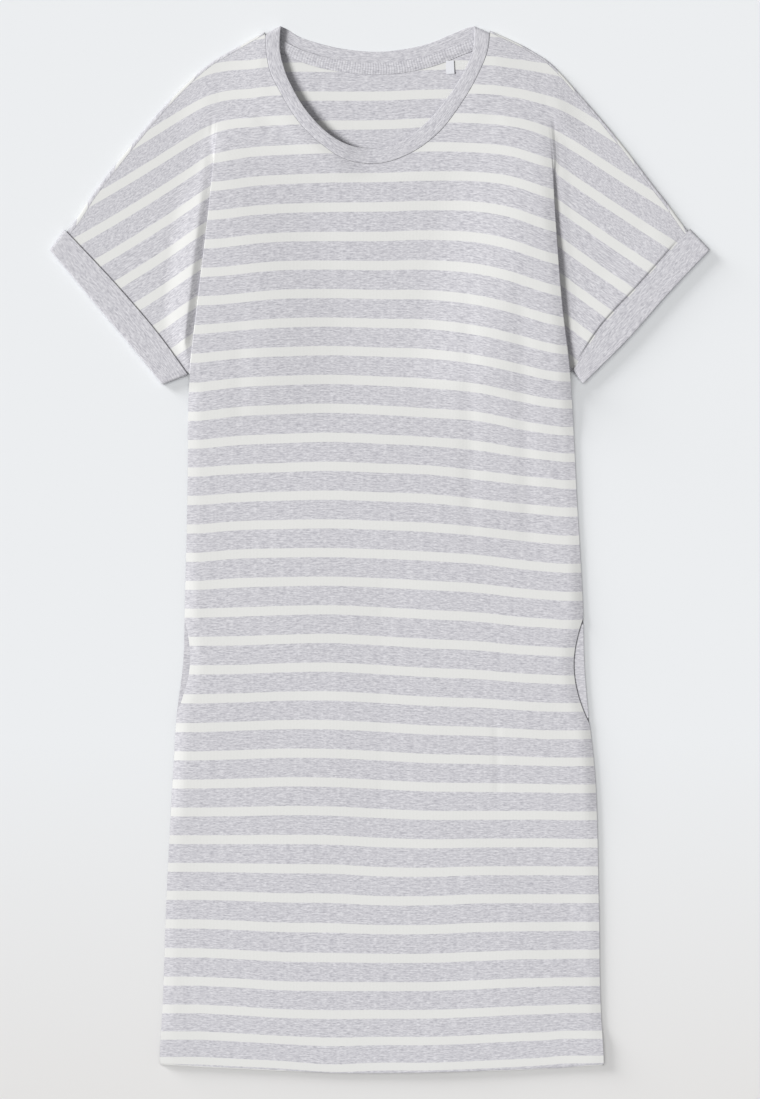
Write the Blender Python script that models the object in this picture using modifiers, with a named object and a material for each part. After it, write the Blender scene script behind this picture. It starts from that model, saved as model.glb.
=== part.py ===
"""A striped jersey nightshirt with short turned-up sleeves, laid flat with its front up.

The tables are in millimetres, seen from above: +Y from the hem to the neck, +X to the right, +Z up. The
back rests on z = 0. Each sleeve is cut in one with its half of the front and of the back. It is lowered,
so its spare cloth is folded in at the underarm: the body lies over the fold and the sleeve comes out
from under it.
"""

import bpy
import numpy as np

MM = 0.001

# Cloth
WALL = 1.2
BAND_WALL = 2.0
TRIM_WALL = 1.0
SEAM_GAP = 0.4
PITCH = WALL + SEAM_GAP


def layer(number):
    """Middle height of the wall of the cloth layer that has this many layers under it."""
    return WALL / 2 + number * PITCH


# Layers at an underarm, from the floor up
BODY_BACK = layer(0)
RETURN_BACK = layer(1)
SLEEVE_BACK = layer(2)
SLEEVE_FRONT = layer(3)
RETURN_FRONT = layer(4)
BODY_FRONT = layer(5) + 4.2

# Rows across the body are named by their height up its side edge
HEM_Y = -549
UNDERARM_Y = 184
YOKE_Y = 385
FOLD_START_Y = 430
SHOULDER_Y = 512
# Depth of the fold for each millimetre below its start
FOLD_TANGENT = 0.268

# Side edges of the body, and the fold line above the underarm: y, left edge, right edge
SIDES = (
    (-541, 231.5, 235.0),
    (-482, 228.5, 232.0),
    (-368, 224.5, 230.0),
    (-220, 216.5, 224.5),
    (-171, 213.5, 219.0),
    (-118, 207.0, 214.8),
    (-74, 205.5, 213.8),
    (52, 202.5, 207.0),
    (184, 199.5, 200.0),
    (262, 191.0, 191.5),
    (346, 181.0, 184.0),
    (420, 173.5, 179.5),
    (450, 171.0, 177.0),
    (512, 172.0, 172.0),
)

# Hem line: x, y
HEM = (
    (-232, -539.0),
    (-186, -542.0),
    (-106, -546.0),
    (-50, -549.0),
    (25, -549.0),
    (69, -548.0),
    (148, -545.0),
    (209, -541.5),
    (236, -540.0),
)
HEM_TURN = 20
# Above this the rows are straight, and below it they bend to the hem line
HEM_FADE_Y = -450
# The back's hem shows below the front's, but not in the middle: distance, middle x, half width
BACK_HEM_SHOWS = 1.5
HEM_COVERED = (10, 60)

# Outline of the shoulders and of the sleeves' upper edges: distance from the middle, left y, right y
SHOULDERS = (
    (116, 545.0, 544.2),
    (157, 522.5, 524.8),
    (178, 510.0, 511.2),
    (210, 482.0, 477.2),
    (252, 435.0, 428.0),
    (294, 382.5, 373.5),
    (322, 344.5, 339.0),
    (331, 333.5, 328.0),
)
# Distance of the shoulder seam from that outline: at the neck, at the cuff
SEAM_INSET = (2.6, 4.6)
# Share of that distance that is level, where the back's edge has come round to the seam
ROLL_LEVEL = 0.45

# Neckline of the front, then of the back: seam x, seam y, free edge x, free edge y
FRONT_NECK = (
    (-120.5, 541.5, -104.0, 549.0),
    (-119.5, 522.0, -103.8, 526.0),
    (-115.5, 501.0, -98.5, 503.5),
    (-105.0, 479.5, -89.5, 484.0),
    (-84.0, 446.0, -71.5, 456.5),
    (-63.0, 425.5, -52.5, 437.5),
    (-38.0, 409.5, -32.0, 425.0),
    (-3.0, 404.5, -3.0, 420.8),
    (34.0, 416.5, 25.5, 430.0),
    (63.0, 438.5, 52.0, 451.0),
    (84.0, 465.5, 70.5, 473.5),
    (103.0, 498.0, 87.5, 500.5),
    (113.0, 523.0, 98.0, 526.5),
    (115.5, 543.2, 98.5, 549.0),
)
BACK_NECK = (
    (-120.5, 541.5, -104.0, 549.0),
    (-108.0, 531.0, -98.0, 546.5),
    (-91.0, 521.5, -84.0, 538.0),
    (-69.0, 513.5, -63.0, 531.0),
    (-34.0, 506.5, -31.5, 524.5),
    (-5.0, 504.5, -5.0, 522.5),
    (24.0, 506.5, 21.0, 524.5),
    (57.0, 514.0, 52.5, 531.5),
    (80.0, 523.0, 73.5, 540.0),
    (102.0, 533.0, 91.5, 547.5),
    (115.5, 543.2, 98.5, 549.0),
)
# The band turns over the shoulder within this length. Its gap to the seam is wider there.
BAND_ROUND = 4.0
BAND_GAP = 0.5
BAND_END_GAP = 1.1
# Half the spread, at the yoke, of the columns that run up to the neckline
NECK_SPREAD = 142

# Front of the body: y, height at the side edge, near the edge, in the middle
HEIGHTS = (
    (-549, 2.2, 5.4, 5.4),
    (-522, 2.2, 5.4, 5.4),
    (-495, 2.2, 4.7, 4.8),
    (-310, 2.2, 4.3, 4.2),
    (-250, 2.2, 5.4, 4.3),
    (-190, 2.2, 5.4, 4.4),
    (-176, 5.4, 5.4, 4.4),
    (-78, 5.4, 5.4, 4.4),
    (-62, 2.2, 5.4, 4.4),
    (-40, 2.2, 5.4, 4.4),
    (30, 2.2, 4.6, 4.4),
    (110, 2.8, 7.2, 4.6),
    (160, 5.8, 11.4, 4.8),
    (184, 10.2, BODY_FRONT, 4.9),
    (300, 10.8, BODY_FRONT, 5.3),
    (395, 9.6, 11.4, 5.3),
    (425, 8.0, 9.2, 5.4),
    (458, 6.6, 6.8, 5.4),
    (512, 5.0, 5.0, 5.4),
)
# Width of the band along the side that has the height near the edge: y, width
EDGE_BANDS = (
    (-549, 20),
    (-320, 20),
    (-280, 150),
    (-40, 150),
    (20, 20),
    (120, 45),
    (184, 72),
    (395, 14),
    (512, 8),
)
# Width over which the height falls to the middle's, and width of the rolled edge
EDGE_FALL = 55
ROLL = 14
# Lift of the front at the neck, on the left and on the right: height, distance from the middle, half width
NECK_LIFTS = (
    (4.6, 84, 50),
    (1.8, 112, 38),
)
# The back's side edge rises to meet the front's as far as this, and less at the underarm
BACK_JOINED_Y = 145
BACK_OPEN_RISE = 0.8
POCKET_LEVEL_Y = (-192, -60)

# Sleeves: height of level cloth, and the end of the body's edge at the shoulder seam
SLEEVE_PLAIN = 4.4
SHOULDER_X = 172
SEAM_LEAN = 0.76
# Slope of the topmost rows, in degrees, and how far below the shoulder it has eased to level
SHOULDER_SLOPE = 40
SLOPE_FADE = 70
# Beside the neck the seam lies straight below the outline, and from here it turns square to it: x, width
NECK_TURN = (118, 30)

# Where the fold begins it is a plain step down from the body's edge: offset, front height, back height
STEP_KEYS = (
    (1.2, 7.8, 0.9),
    (2.4, 7.4, 1.3),
    (3.0, 6.9, 2.0),
    (3.6, 6.4, 2.8),
    (4.2, 5.9, 3.4),
    (5.4, 5.6, 3.7),
)
STEP_REACH = (8, 12)
STEP_START = (28, 30)
# The whole fold, in under the body and out again: offset, share of the fold's depth, front and back height
FOLD_KEYS = (
    (-0.6, 0, 8.6, 2.1),
    (-1.0, -0.2, RETURN_FRONT, RETURN_BACK),
    (1.0, -1, RETURN_FRONT, RETURN_BACK),
    (-0.6, -1, (RETURN_FRONT + SLEEVE_FRONT) / 2, (RETURN_BACK + SLEEVE_BACK) / 2),
    (1.0, -1, SLEEVE_FRONT, SLEEVE_BACK),
    (0.0, -0.5, SLEEVE_FRONT, SLEEVE_BACK),
)
FOLD_START = (4, 38)
FOLD_REACH = 8
# Over how much of a sleeve the height at the body's edge eases to level: at the step, at the fold
SLEEVE_SPREAD = (70, 26)

# Pocket mouths in the side edges: side, upper end, lower end, depth of the curve
POCKETS = (
    ("left", -1, -74, -172, 7.5),
    ("right", 1, -72, -183, 11.6),
)
MOUTH_CURVE = 0.85
# A bag: y of its inner corners, its reach from the side edge and how much less at the corners
POCKET_ENDS = (-50, -262)
POCKET_REACH = 132
POCKET_CORNERS = 0.35
# Its distance inside the ends of the mouth, and of its upper layer inside the mouth's edge
POCKET_MARGIN = 6.5
POCKET_HIDDEN = 2.5
# Section from the side edge inwards and back: share of the reach, height in layers
POCKET_PROFILE = (
    (0, 1),
    (0.12, 1),
    (0.5, 1),
    (0.97, 1),
    (0.994, 1.15),
    (1.0, 1.5),
    (0.994, 1.85),
    (0.97, 2),
    (0.5, 2),
    (0.12, 2),
    (0, 2),
)

# Cuffs, a row for each section: edge x, edge y (on the sleeve), end x, end y (outer end)
CUFFS = {
    -1: (
        (331.0, 335.5, 346.5, 314.5),
        (273.5, 274.0, 295.5, 253.5),
        (231.5, 224.5, 257.5, 208.5),
        (201.3, 183.0, 228.0, 172.7),
    ),
    1: (
        (325.5, 336.5, 346.5, 314.5),
        (273.0, 277.5, 301.5, 267.0),
        (230.5, 230.5, 257.0, 217.0),
        (201.6, 187.0, 213.0, 173.8),
    ),
}
CUFF_DEPTH = 28
# Profile of a cuff: distance from its free edge, inset from its outer face
CUFF_PROFILE = (
    (0, 0),
    (12, 0),
    (CUFF_DEPTH - 2.4, 0),
    (CUFF_DEPTH - 1.1, 0.25),
    (CUFF_DEPTH - 0.6, 0.87),
    (CUFF_DEPTH - 1.1, 1.5),
    (CUFF_DEPTH - 2.4, 1.75),
    (CUFF_DEPTH - 5, 1.75),
)
# A cuff laid flat: its middle height, half its height, and the heights of the sleeve's layers inside it
CUFF_MIDDLE = 3.2
CUFF_RISE = 2.6
CUFF_FLOOR = 2.2
CUFF_CEILING = 4.2
# Length over which the sleeve rises or sinks to those, its slack at the ends, and its share of the depth
CUFF_RUN_UP = 24
CUFF_SLACK = 1.9
SLEEVE_START = -0.04
SLEEVE_END = 0.73

# Trims inside the back neck
TAPE_WIDTH = 12
TAPE_ENDS = (-100, 95)
# Its heights over the seam and at its lower edge
TAPE_LEVELS = (3.2, 2.4)
TAPE_GATHERS = 38
GATHER_HEIGHT = 0.25
LABEL_PLACE = (73, 504)
LABEL_SIZE = (8.5, 14)
LABEL_LEAN = 0.12
LABEL_LEVEL = 2.0

# Rows of the body, and distances of its outer columns from the side edge
ROWS = (
    HEM_Y, -522, -495, -420, -330, -262, -205, -190, -176, -150, -125, -100, -78, -62, -30, 40, 100, 145,
    UNDERARM_Y, 215, 252, 295, 340, YOKE_Y, 400, 409, 416, 424, 434, 450, 480, SHOULDER_Y,
)
INSETS = (WALL / 2, 1.8, 5, ROLL)

MELANGE = (0.60, 0.60, 0.65, 1)
WHITE = (0.84, 0.84, 0.80, 1)


def curve(t, knots, values):
    """A smooth line through the knots: a cubic between each two, its slopes taken from the neighbours."""
    knots = np.asarray(knots, float)
    values = np.asarray(values, float)
    slopes = np.gradient(values, knots, axis=0)
    return cubic(t, knots, values, slopes)


def ease(t, knots, values):
    """A line that eases from each knot to the next and is level at every knot."""
    knots = np.asarray(knots, float)
    values = np.asarray(values, float)
    return cubic(t, knots, values, np.zeros_like(values))


def cubic(t, knots, values, slopes):
    t = np.asarray(t, float)
    i = np.clip(np.searchsorted(knots, t) - 1, 0, len(knots) - 2)
    step = knots[i + 1] - knots[i]
    u = np.clip((t - knots[i]) / step, 0, 1)
    if values.ndim > 1:
        u = u[..., None]
        step = step[..., None]
    start = (1 + 2 * u) * (1 - u) ** 2 * values[i] + u * (1 - u) ** 2 * step * slopes[i]
    end = u**2 * (3 - 2 * u) * values[i + 1] - u**2 * (1 - u) * step * slopes[i + 1]
    return start + end


def smooth(t):
    """0 below 0, 1 above 1, eased between."""
    t = np.clip(t, 0, 1)
    return t * t * (3 - 2 * t)


def mix(a, b, share):
    return a + (b - a) * share


def column(table, index):
    return [row[index] for row in table]


def edge_x(y, side):
    """Distance of the body's side edge from the middle."""
    return curve(y, column(SIDES, 0), column(SIDES, 1 if side < 0 else 2))


def mouth(y, side):
    """How far a pocket's mouth cuts into the front's side edge."""
    row = POCKETS[0] if side < 0 else POCKETS[1]
    upper, lower, depth = row[2:]
    share = np.clip((upper - y) / (upper - lower), 0, 1)
    return depth * np.sin(np.pi * share) ** MOUTH_CURVE


def outline_y(x, side):
    """Height of the shoulder and sleeve outline at a distance from the middle."""
    return curve(x, column(SHOULDERS, 0), column(SHOULDERS, 1 if side < 0 else 2))


def outline_slope(x, side):
    return (outline_y(x + 1, side) - outline_y(x - 1, side)) / 2


def seam_inset(x):
    """Distance of the shoulder seam from the outline."""
    share = np.clip((x - SHOULDERS[0][0]) / (SHOULDERS[-1][0] - SHOULDERS[0][0]), 0, 1)
    return mix(SEAM_INSET[0], SEAM_INSET[1], share)


def shoulder_point(x, side, inset):
    """Point at a distance inside the outline. Beside the neck the inset is straight down."""
    across = outline_slope(x, side) * smooth((x - NECK_TURN[0]) / NECK_TURN[1])
    size = np.hypot(across, 1)
    return side * (x + inset * across / size), outline_y(x, side) - inset / size


def tuck_depth(y):
    return np.maximum(FOLD_START_Y - y, 0) * FOLD_TANGENT


def front_height(y, inset, x, side):
    """Middle height of the front's wall, by row, distance from the side edge, and x."""
    rows = column(HEIGHTS, 0)
    at_edge = ease(y, rows, column(HEIGHTS, 1))
    near = ease(y, rows, column(HEIGHTS, 2))
    centre = ease(y, rows, column(HEIGHTS, 3))
    width = np.interp(y, column(EDGE_BANDS, 0), column(EDGE_BANDS, 1))
    height = mix(near, centre, smooth((inset - width) / EDGE_FALL))
    lift, middle, half_width = np.where(np.expand_dims(side, -1) < 0, *NECK_LIFTS).T
    bump = np.exp(-(((np.abs(x) - middle) / half_width) ** 2))
    lift = lift * smooth((y - YOKE_Y) / (SHOULDER_Y - YOKE_Y)) * bump
    roll = np.clip(inset / ROLL, 0, 1)
    return at_edge + (height - at_edge) * np.sqrt(1 - (1 - roll) ** 2) + lift


def back_height(y, inset, x, side):
    """The back is flat on the floor. Its side edges rise to meet the front's as far as the underarm."""
    joined = ease(y, column(HEIGHTS, 0), column(HEIGHTS, 1)) - PITCH - BODY_BACK
    rise = mix(joined, BACK_OPEN_RISE, smooth((y - BACK_JOINED_Y) / (UNDERARM_Y - BACK_JOINED_Y)))
    rise = rise * (1 - smooth((y - FOLD_START_Y) / 20))
    rise = np.where((y > POCKET_LEVEL_Y[0]) & (y < POCKET_LEVEL_Y[1]), 0, rise)
    roll = np.clip(inset / ROLL, 0, 1)
    return BODY_BACK + rise * (1 - np.sqrt(1 - (1 - roll) ** 2))


def neck_line(is_front, share):
    """Places along a neckline, from its left end to its right end: seam x, y and free edge x, y."""
    table = np.array(FRONT_NECK if is_front else BACK_NECK)
    for row, side in ((0, -1), (-1, 1)):
        x = abs(table[row, 0])
        table[row, :2] = shoulder_point(x, side, seam_inset(x) - (0 if is_front else SEAM_GAP))
    length = np.r_[0, np.cumsum(np.hypot(*np.diff(table[:, :2], axis=0).T))]
    return curve(share * length[-1], length, table)


def body_columns(is_front, insets, shoulder_steps, neck_steps):
    """Columns of the body from left to right: side, edge inset, yoke x, top x, top y."""
    gap = 0 if is_front else SEAM_GAP
    share = np.linspace(0, 1, neck_steps + 1)
    seam = neck_line(is_front, share)[:, :2]
    halves = []
    for side in (-1, 1):
        neck_x = abs(seam[0 if side < 0 else -1, 0])
        yoke_edge = edge_x(YOKE_Y, side)
        inset = np.asarray(insets, float)
        step = np.linspace(0, 1, shoulder_steps + 2)[1:]
        outline = SHOULDER_X - SEAM_LEAN * inset
        outline = np.r_[outline, mix(outline[-1], neck_x, step)]
        inset = np.r_[inset, mix(inset[-1], yoke_edge - NECK_SPREAD, step)]
        top_x, top_y = shoulder_point(outline, side, seam_inset(outline) - gap)
        halves.append(np.column_stack([side + 0 * inset, inset, side * (yoke_edge - inset), top_x, top_y]))
    yoke = mix(-NECK_SPREAD, NECK_SPREAD, share[1:-1])
    side = np.where(yoke < 0, -1, 1)
    inset = np.where(yoke < 0, edge_x(YOKE_Y, -1), edge_x(YOKE_Y, 1)) - np.abs(yoke)
    middle = np.column_stack([side, inset, yoke, seam[1:-1]])
    return np.concatenate([halves[0], middle, halves[1][::-1]])


def body_grid(columns, rows, is_front):
    """Points of the body: straight rows up to the yoke, then rows that rise to the neckline and shoulders."""
    side, inset, yoke, top_x, top_y = columns.T
    rows = np.asarray(rows, float)[:, None]
    edge = np.where(side < 0, edge_x(rows, -1), edge_x(rows, 1))
    if is_front:
        edge = edge - np.where(side < 0, mouth(rows, -1), mouth(rows, 1))
    edge_yoke = np.where(side < 0, edge_x(YOKE_Y, -1), edge_x(YOKE_Y, 1))
    inner = (edge - ROLL) * np.abs(yoke) / (edge_yoke - ROLL)
    x = np.where(inset <= ROLL, side * (edge - inset), np.sign(yoke) * inner)
    hem = curve(x, column(HEM, 0), column(HEM, 1)) - HEM_Y
    if not is_front:
        hem = hem - BACK_HEM_SHOWS * smooth(np.abs(x - HEM_COVERED[0]) / HEM_COVERED[1] - 1)
    y = rows + hem * smooth((HEM_FADE_Y - rows) / (HEM_FADE_Y - HEM_Y))
    rise = np.clip((rows - YOKE_Y) / (SHOULDER_Y - YOKE_Y), 0, 1)
    lean = edge - mix(edge_yoke, SHOULDER_X, rise)
    keep = np.clip((np.abs(yoke) - NECK_SPREAD) / (edge_yoke - ROLL - NECK_SPREAD), 0, 1)
    x = np.where(rows > YOKE_Y, mix(yoke, top_x, rise) + side * lean * keep, x)
    y = np.where(rows > YOKE_Y, mix(YOKE_Y, top_y, rise), y)
    reach = np.where(inset <= ROLL, inset, edge - np.abs(x)) - WALL / 2
    height = front_height if is_front else back_height
    z = height(np.broadcast_to(rows, x.shape), np.maximum(reach, 0), x, side)
    return np.stack([x, y, z], -1)


def cuff_length(side):
    table = np.array(CUFFS[side])[:, :2]
    return np.hypot(*np.diff(table, axis=0).T).sum()


def cuff_point(side, along, depth):
    """Place on a cuff, seen from above: distance along it from its upper end, and share of its depth."""
    table = np.array(CUFFS[side])
    length = np.r_[0, np.cumsum(np.hypot(*np.diff(table[:, :2], axis=0).T))]
    row = curve(along, length, table)
    return mix(row[..., :2], row[..., 2:], np.asarray(depth)[..., None]) * (side, 1)


def sleeve_height(is_front, start, spread, from_fold, to_cuff):
    """Middle height of a sleeve layer: from its height at the fold line to its height in the cuff."""
    plain, cuff = (SLEEVE_PLAIN, CUFF_CEILING) if is_front else (BODY_BACK, CUFF_FLOOR)
    near_fold = smooth(1 - from_fold / spread)
    near_cuff = smooth(1 - to_cuff / CUFF_RUN_UP)
    return mix(mix(plain, start, near_fold), cuff, near_cuff)


def fold_keys(rows, reach, is_front):
    """Key points outwards from the body's edge: offsets and heights of the plain step and of the whole fold."""
    step = np.array(STEP_KEYS)
    fold = np.array(FOLD_KEYS)
    step_offset = np.tile(np.r_[step[:, 0], STEP_REACH], (len(rows), 1))
    fold_offset = fold[:, 0] + fold[:, 1] * tuck_depth(rows)[:, None]
    fold_offset = np.column_stack([fold_offset, reach - FOLD_REACH, reach])
    layer_column = -2 if is_front else -1
    return step_offset, fold_offset, step[:, layer_column], fold[:, layer_column]


def sleeve_grid(edge, rows, side, is_front, fold_parts, sleeve_shares):
    """Points of one sleeve, a row for each point of the body's edge, from there outwards to the cuff.

    Flat cloth at the shoulder turns into a step, then into the fold: in under the body, round, and out
    again as the sleeve. Beyond the fold a row runs straight to the cuff, and near the top it bends to
    follow the overarm seam.
    """
    rows = np.asarray(rows, float)
    share = (SHOULDER_Y - rows) / (SHOULDER_Y - UNDERARM_Y)
    gap = 0 if is_front else SEAM_GAP
    first = WALL + CUFF_SLACK + SEAM_INSET[1] - gap
    along = mix(first, cuff_length(side) - WALL / 2 - CUFF_RISE, share)
    cuff_mouth = cuff_point(side, along, np.full_like(along, SLEEVE_START))
    cuff_end = cuff_point(side, along, np.full_like(along, SLEEVE_END))

    to_mouth = np.hypot(*(cuff_mouth - edge[:, :2]).T)
    reach = np.clip(0.5 * to_mouth - 4, -3, FOLD_REACH)
    stepped = smooth((FOLD_START_Y + STEP_START[0] - rows) / STEP_START[1])[:, None]
    folded = smooth((FOLD_START_Y + FOLD_START[0] - rows) / FOLD_START[1])[:, None]
    step_offset, fold_offset, step_z, fold_z = fold_keys(rows, reach, is_front)
    offset = mix(step_offset, fold_offset, folded)
    slope = np.radians(np.interp(rows, [SHOULDER_Y - SLOPE_FADE, SHOULDER_Y], [0, SHOULDER_SLOPE]))[:, None]
    plan = np.stack([edge[:, :1] + side * offset * np.cos(slope), edge[:, 1:2] - offset * np.sin(slope)], -1)
    start = mix(edge[:, 2:], SLEEVE_FRONT if is_front else SLEEVE_BACK, stepped)
    spread = mix(*SLEEVE_SPREAD, stepped)
    to_cuff = np.hypot(*(cuff_mouth - plan[:, -1]).T)[:, None]
    past = np.maximum(offset, 0)
    z = sleeve_height(is_front, start, spread, past, to_cuff + offset[:, -1:] - offset)
    inner = len(step_z)
    z[:, :inner] = mix(mix(z[:, :inner], step_z, stepped), fold_z, folded)
    keys = np.concatenate([edge[:, None], np.concatenate([plan, z[..., None]], -1)], 1)
    last = keys.shape[1] - 1
    places = np.linspace(0, last, last * fold_parts + 1)[1:]
    fold = np.stack([curve(places, np.arange(last + 1), row) for row in keys])

    shares = np.asarray(sleeve_shares, float)[None, :, None]
    outward = mix(plan[:, -1:], cuff_mouth[:, None], shares)
    distance = np.hypot(*(cuff_mouth - plan[:, -1]).T)[:, None] * shares[..., 0]
    z = sleeve_height(is_front, start, spread, past[:, -1:] + distance, to_cuff - distance)
    outward = np.concatenate([outward, z[..., None]], -1)
    end = np.column_stack([cuff_end, z[:, -1]])[:, None]

    grid = np.concatenate([fold, outward], 1)
    top = grid[rows.argmax()]
    top_x = np.abs(top[:, 0])
    inset = seam_inset(top_x) - gap
    drop = outline_y(top_x, side) - inset * np.hypot(1, outline_slope(top_x, side)) - top[:, 1]
    drop = drop * smooth(np.abs(top[:, 0] - cuff_mouth[rows.argmax(), 0]) / CUFF_RUN_UP)
    grid[..., 1] += drop * ((1 - share) ** 2)[:, None]
    return np.concatenate([grid, end], 1)


def panel(is_front, rows, insets, shoulder_steps, neck_steps, fold_parts, sleeve_shares):
    """All points of the front or the back as one grid, with nan where it has no cloth, and its parts' sizes."""
    columns = body_columns(is_front, insets, shoulder_steps, neck_steps)
    rows = np.asarray(rows, float)
    body = body_grid(columns, rows, is_front)
    upper = rows >= UNDERARM_Y
    sleeves = []
    for side, edge in ((-1, body[upper, 0]), (1, body[upper, -1])):
        points = sleeve_grid(edge, rows[upper], side, is_front, fold_parts, sleeve_shares)
        whole = np.full((len(rows),) + points.shape[1:], np.nan)
        whole[upper] = points
        sleeves.append(whole)
    return np.concatenate([sleeves[0][:, ::-1], body, sleeves[1]], 1), sleeves[0].shape[1]


def with_hem(grid, first, last, turn_up):
    """The grid with its hem turned up inside: round the hem line and back over these columns."""
    edge = grid[0].copy()
    grid[0, :, 1] += WALL / 2 + PITCH / 2
    turns = []
    for rise, height in ((WALL / 2 + HEM_TURN, 1), (WALL / 2 + PITCH / 2, 1), (WALL / 2, 0.5)):
        row = edge + (0, rise, turn_up * PITCH * height)
        row[:first] = np.nan
        row[last:] = np.nan
        turns.append(row)
    return np.concatenate([np.array(turns), grid])


def with_shoulder_roll(grid, front_top, keep, steps):
    """The back's grid with its upper edge brought round the outline to the seam at the front's edge."""
    top = grid[-1]
    along = np.gradient(top[:, :2], axis=0)
    turn = smooth((np.abs(top[:, 0]) - NECK_TURN[0]) / NECK_TURN[1])
    across = np.stack([-along[:, 1] * turn, along[:, 0]], 1)
    across /= np.linalg.norm(across, axis=1)[:, None]
    reach = seam_inset(np.abs(top[:, 0])) - SEAM_GAP - WALL / 2
    angles = np.linspace(0, np.pi, steps + 1)[1:]
    out = np.r_[mix(np.where(angles > np.pi / 2, ROLL_LEVEL, 0), 1, np.sin(angles)), 0]
    up = np.r_[(1 - np.cos(angles)) / 2, 1]
    rolls = []
    for outward, share in zip(out, up):
        row = top.copy()
        row[:, :2] += across * (reach * outward)[:, None]
        row[:, 2] = mix(top[:, 2], front_top, share)
        row[~keep] = np.nan
        rolls.append(row)
    return np.concatenate([grid, np.array(rolls)])


def body_grids(rows, insets, shoulder_steps, neck_steps, fold_parts, sleeve_shares, roll_steps):
    """Grids of the front and of the back, and the points of their neck seams."""
    shape = (rows, insets, shoulder_steps, neck_steps, fold_parts, sleeve_shares)
    front, sleeve = panel(True, *shape)
    back, sleeve = panel(False, *shape)
    neck_end = sleeve + len(insets) + shoulder_steps
    seams = [front[-1, neck_end:-neck_end], back[-1, neck_end:-neck_end]]
    keep = np.ones(front.shape[1], bool)
    keep[neck_end + 1 : -neck_end - 1] = False
    back = with_shoulder_roll(back, front[-1, :, 2], keep, roll_steps)
    first = sleeve + len(insets) - 1
    last = front.shape[1] - first
    return with_hem(front, first, last, -1), with_hem(back, first, last, 1), seams


def neck_ring(front_seam, back_seam, across):
    """The neckband: a closed ring of stations, round over the shoulders, each from seam to free edge.

    It follows the necklines of the front and of the back, and both lists run from left to right.
    """
    halves = []
    for is_front, seam, other_seam in ((True, front_seam, back_seam), (False, back_seam, front_seam)):
        count = len(seam) - 1
        free = neck_line(is_front, np.linspace(0, 1, count + 1))[:, 2:]
        spacing = np.hypot(*(seam[1] - seam[0])[:2])
        near = (1 - np.cos(np.linspace(0, np.pi / 2, 4))) * BAND_ROUND / spacing
        place = np.r_[near, np.arange(1, count), count - near[::-1]]
        row = np.column_stack([seam[:, :2], free, seam[:, 2]])
        row = np.column_stack([np.interp(place, np.arange(count + 1), line) for line in row.T])
        near_end = np.minimum(place, count - place) * spacing / BAND_ROUND
        arch = np.sqrt(1 - (1 - np.clip(near_end, 0, 1)) ** 2)
        other = other_seam[np.where(place < count / 2, 0, -1), 2]
        row[:, 4] = mix((row[:, 4] + other) / 2, row[:, 4], arch) + (BAND_WALL - WALL) / 2
        halves.append(np.column_stack([row, mix(BAND_END_GAP, BAND_GAP, arch)]))
    ring = np.concatenate([halves[0], halves[1][-2:0:-1]])
    width = np.hypot(*(ring[:, 2:4] - ring[:, :2]).T)[:, None]
    share = mix(ring[:, 5:] / width, 1, np.linspace(0, 1, across))
    plan = mix(ring[:, None, :2], ring[:, None, 2:4], share[..., None])
    level = np.broadcast_to(ring[:, None, 4:5], plan.shape[:2] + (1,))
    return np.concatenate([plan, level], -1)


def tape_grid():
    """The neck tape: across the seam of the back neck, with a ridge and a furrow for each gather."""
    table = np.array(BACK_NECK)
    x = np.linspace(TAPE_ENDS[0], TAPE_ENDS[1], 2 * TAPE_GATHERS + 1)
    seam = np.stack([x, curve(x, table[:, 0], table[:, 1])], 1)
    along = np.gradient(seam, axis=0)
    across = np.stack([-along[:, 1], along[:, 0]], 1) / np.hypot(*along.T)[:, None]
    gather = GATHER_HEIGHT * (-1) ** np.arange(len(x))
    rows = []
    for reach, level in ((TAPE_WIDTH / 2, TAPE_LEVELS[0]), (-1, TAPE_LEVELS[0]), (-TAPE_WIDTH / 2, TAPE_LEVELS[1])):
        rows.append(np.column_stack([seam + across * reach, level + gather]))
    return np.array(rows)


def label_grid():
    """The blank tab below the neck tape, leaning a little."""
    across = np.linspace(-0.5, 0.5, 3) * LABEL_SIZE[0]
    down = np.linspace(0.5, -0.5, 4) * LABEL_SIZE[1]
    across, down = np.meshgrid(across, down)
    x = LABEL_PLACE[0] + across - LABEL_LEAN * down
    y = LABEL_PLACE[1] + down + LABEL_LEAN * across
    return np.stack([x, y, np.full_like(x, LABEL_LEVEL)], -1)


def pocket_grid(side, upper, lower):
    """A pocket bag: its under layer from the side edge inwards, round its inner end, and its upper layer."""
    share = np.linspace(0, 1, 9)[:, None]
    outer_y = mix(upper - POCKET_MARGIN, lower + POCKET_MARGIN, share)
    inner_y = mix(POCKET_ENDS[0], POCKET_ENDS[1], share)
    reach = POCKET_REACH * (1 - POCKET_CORNERS * (2 * share - 1) ** 4)
    outer_x = edge_x(outer_y, side) - WALL / 2
    hidden_x = edge_x(outer_y, side) - mouth(outer_y, side) - POCKET_HIDDEN
    inwards, layers = np.array(POCKET_PROFILE).T
    start = np.where(layers > 1.5, hidden_x, outer_x)
    x = mix(start, outer_x - reach, inwards)
    y = mix(outer_y, inner_y, inwards)
    return np.stack([side * x, y, BODY_BACK + PITCH * np.broadcast_to(layers, x.shape)], -1)


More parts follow.
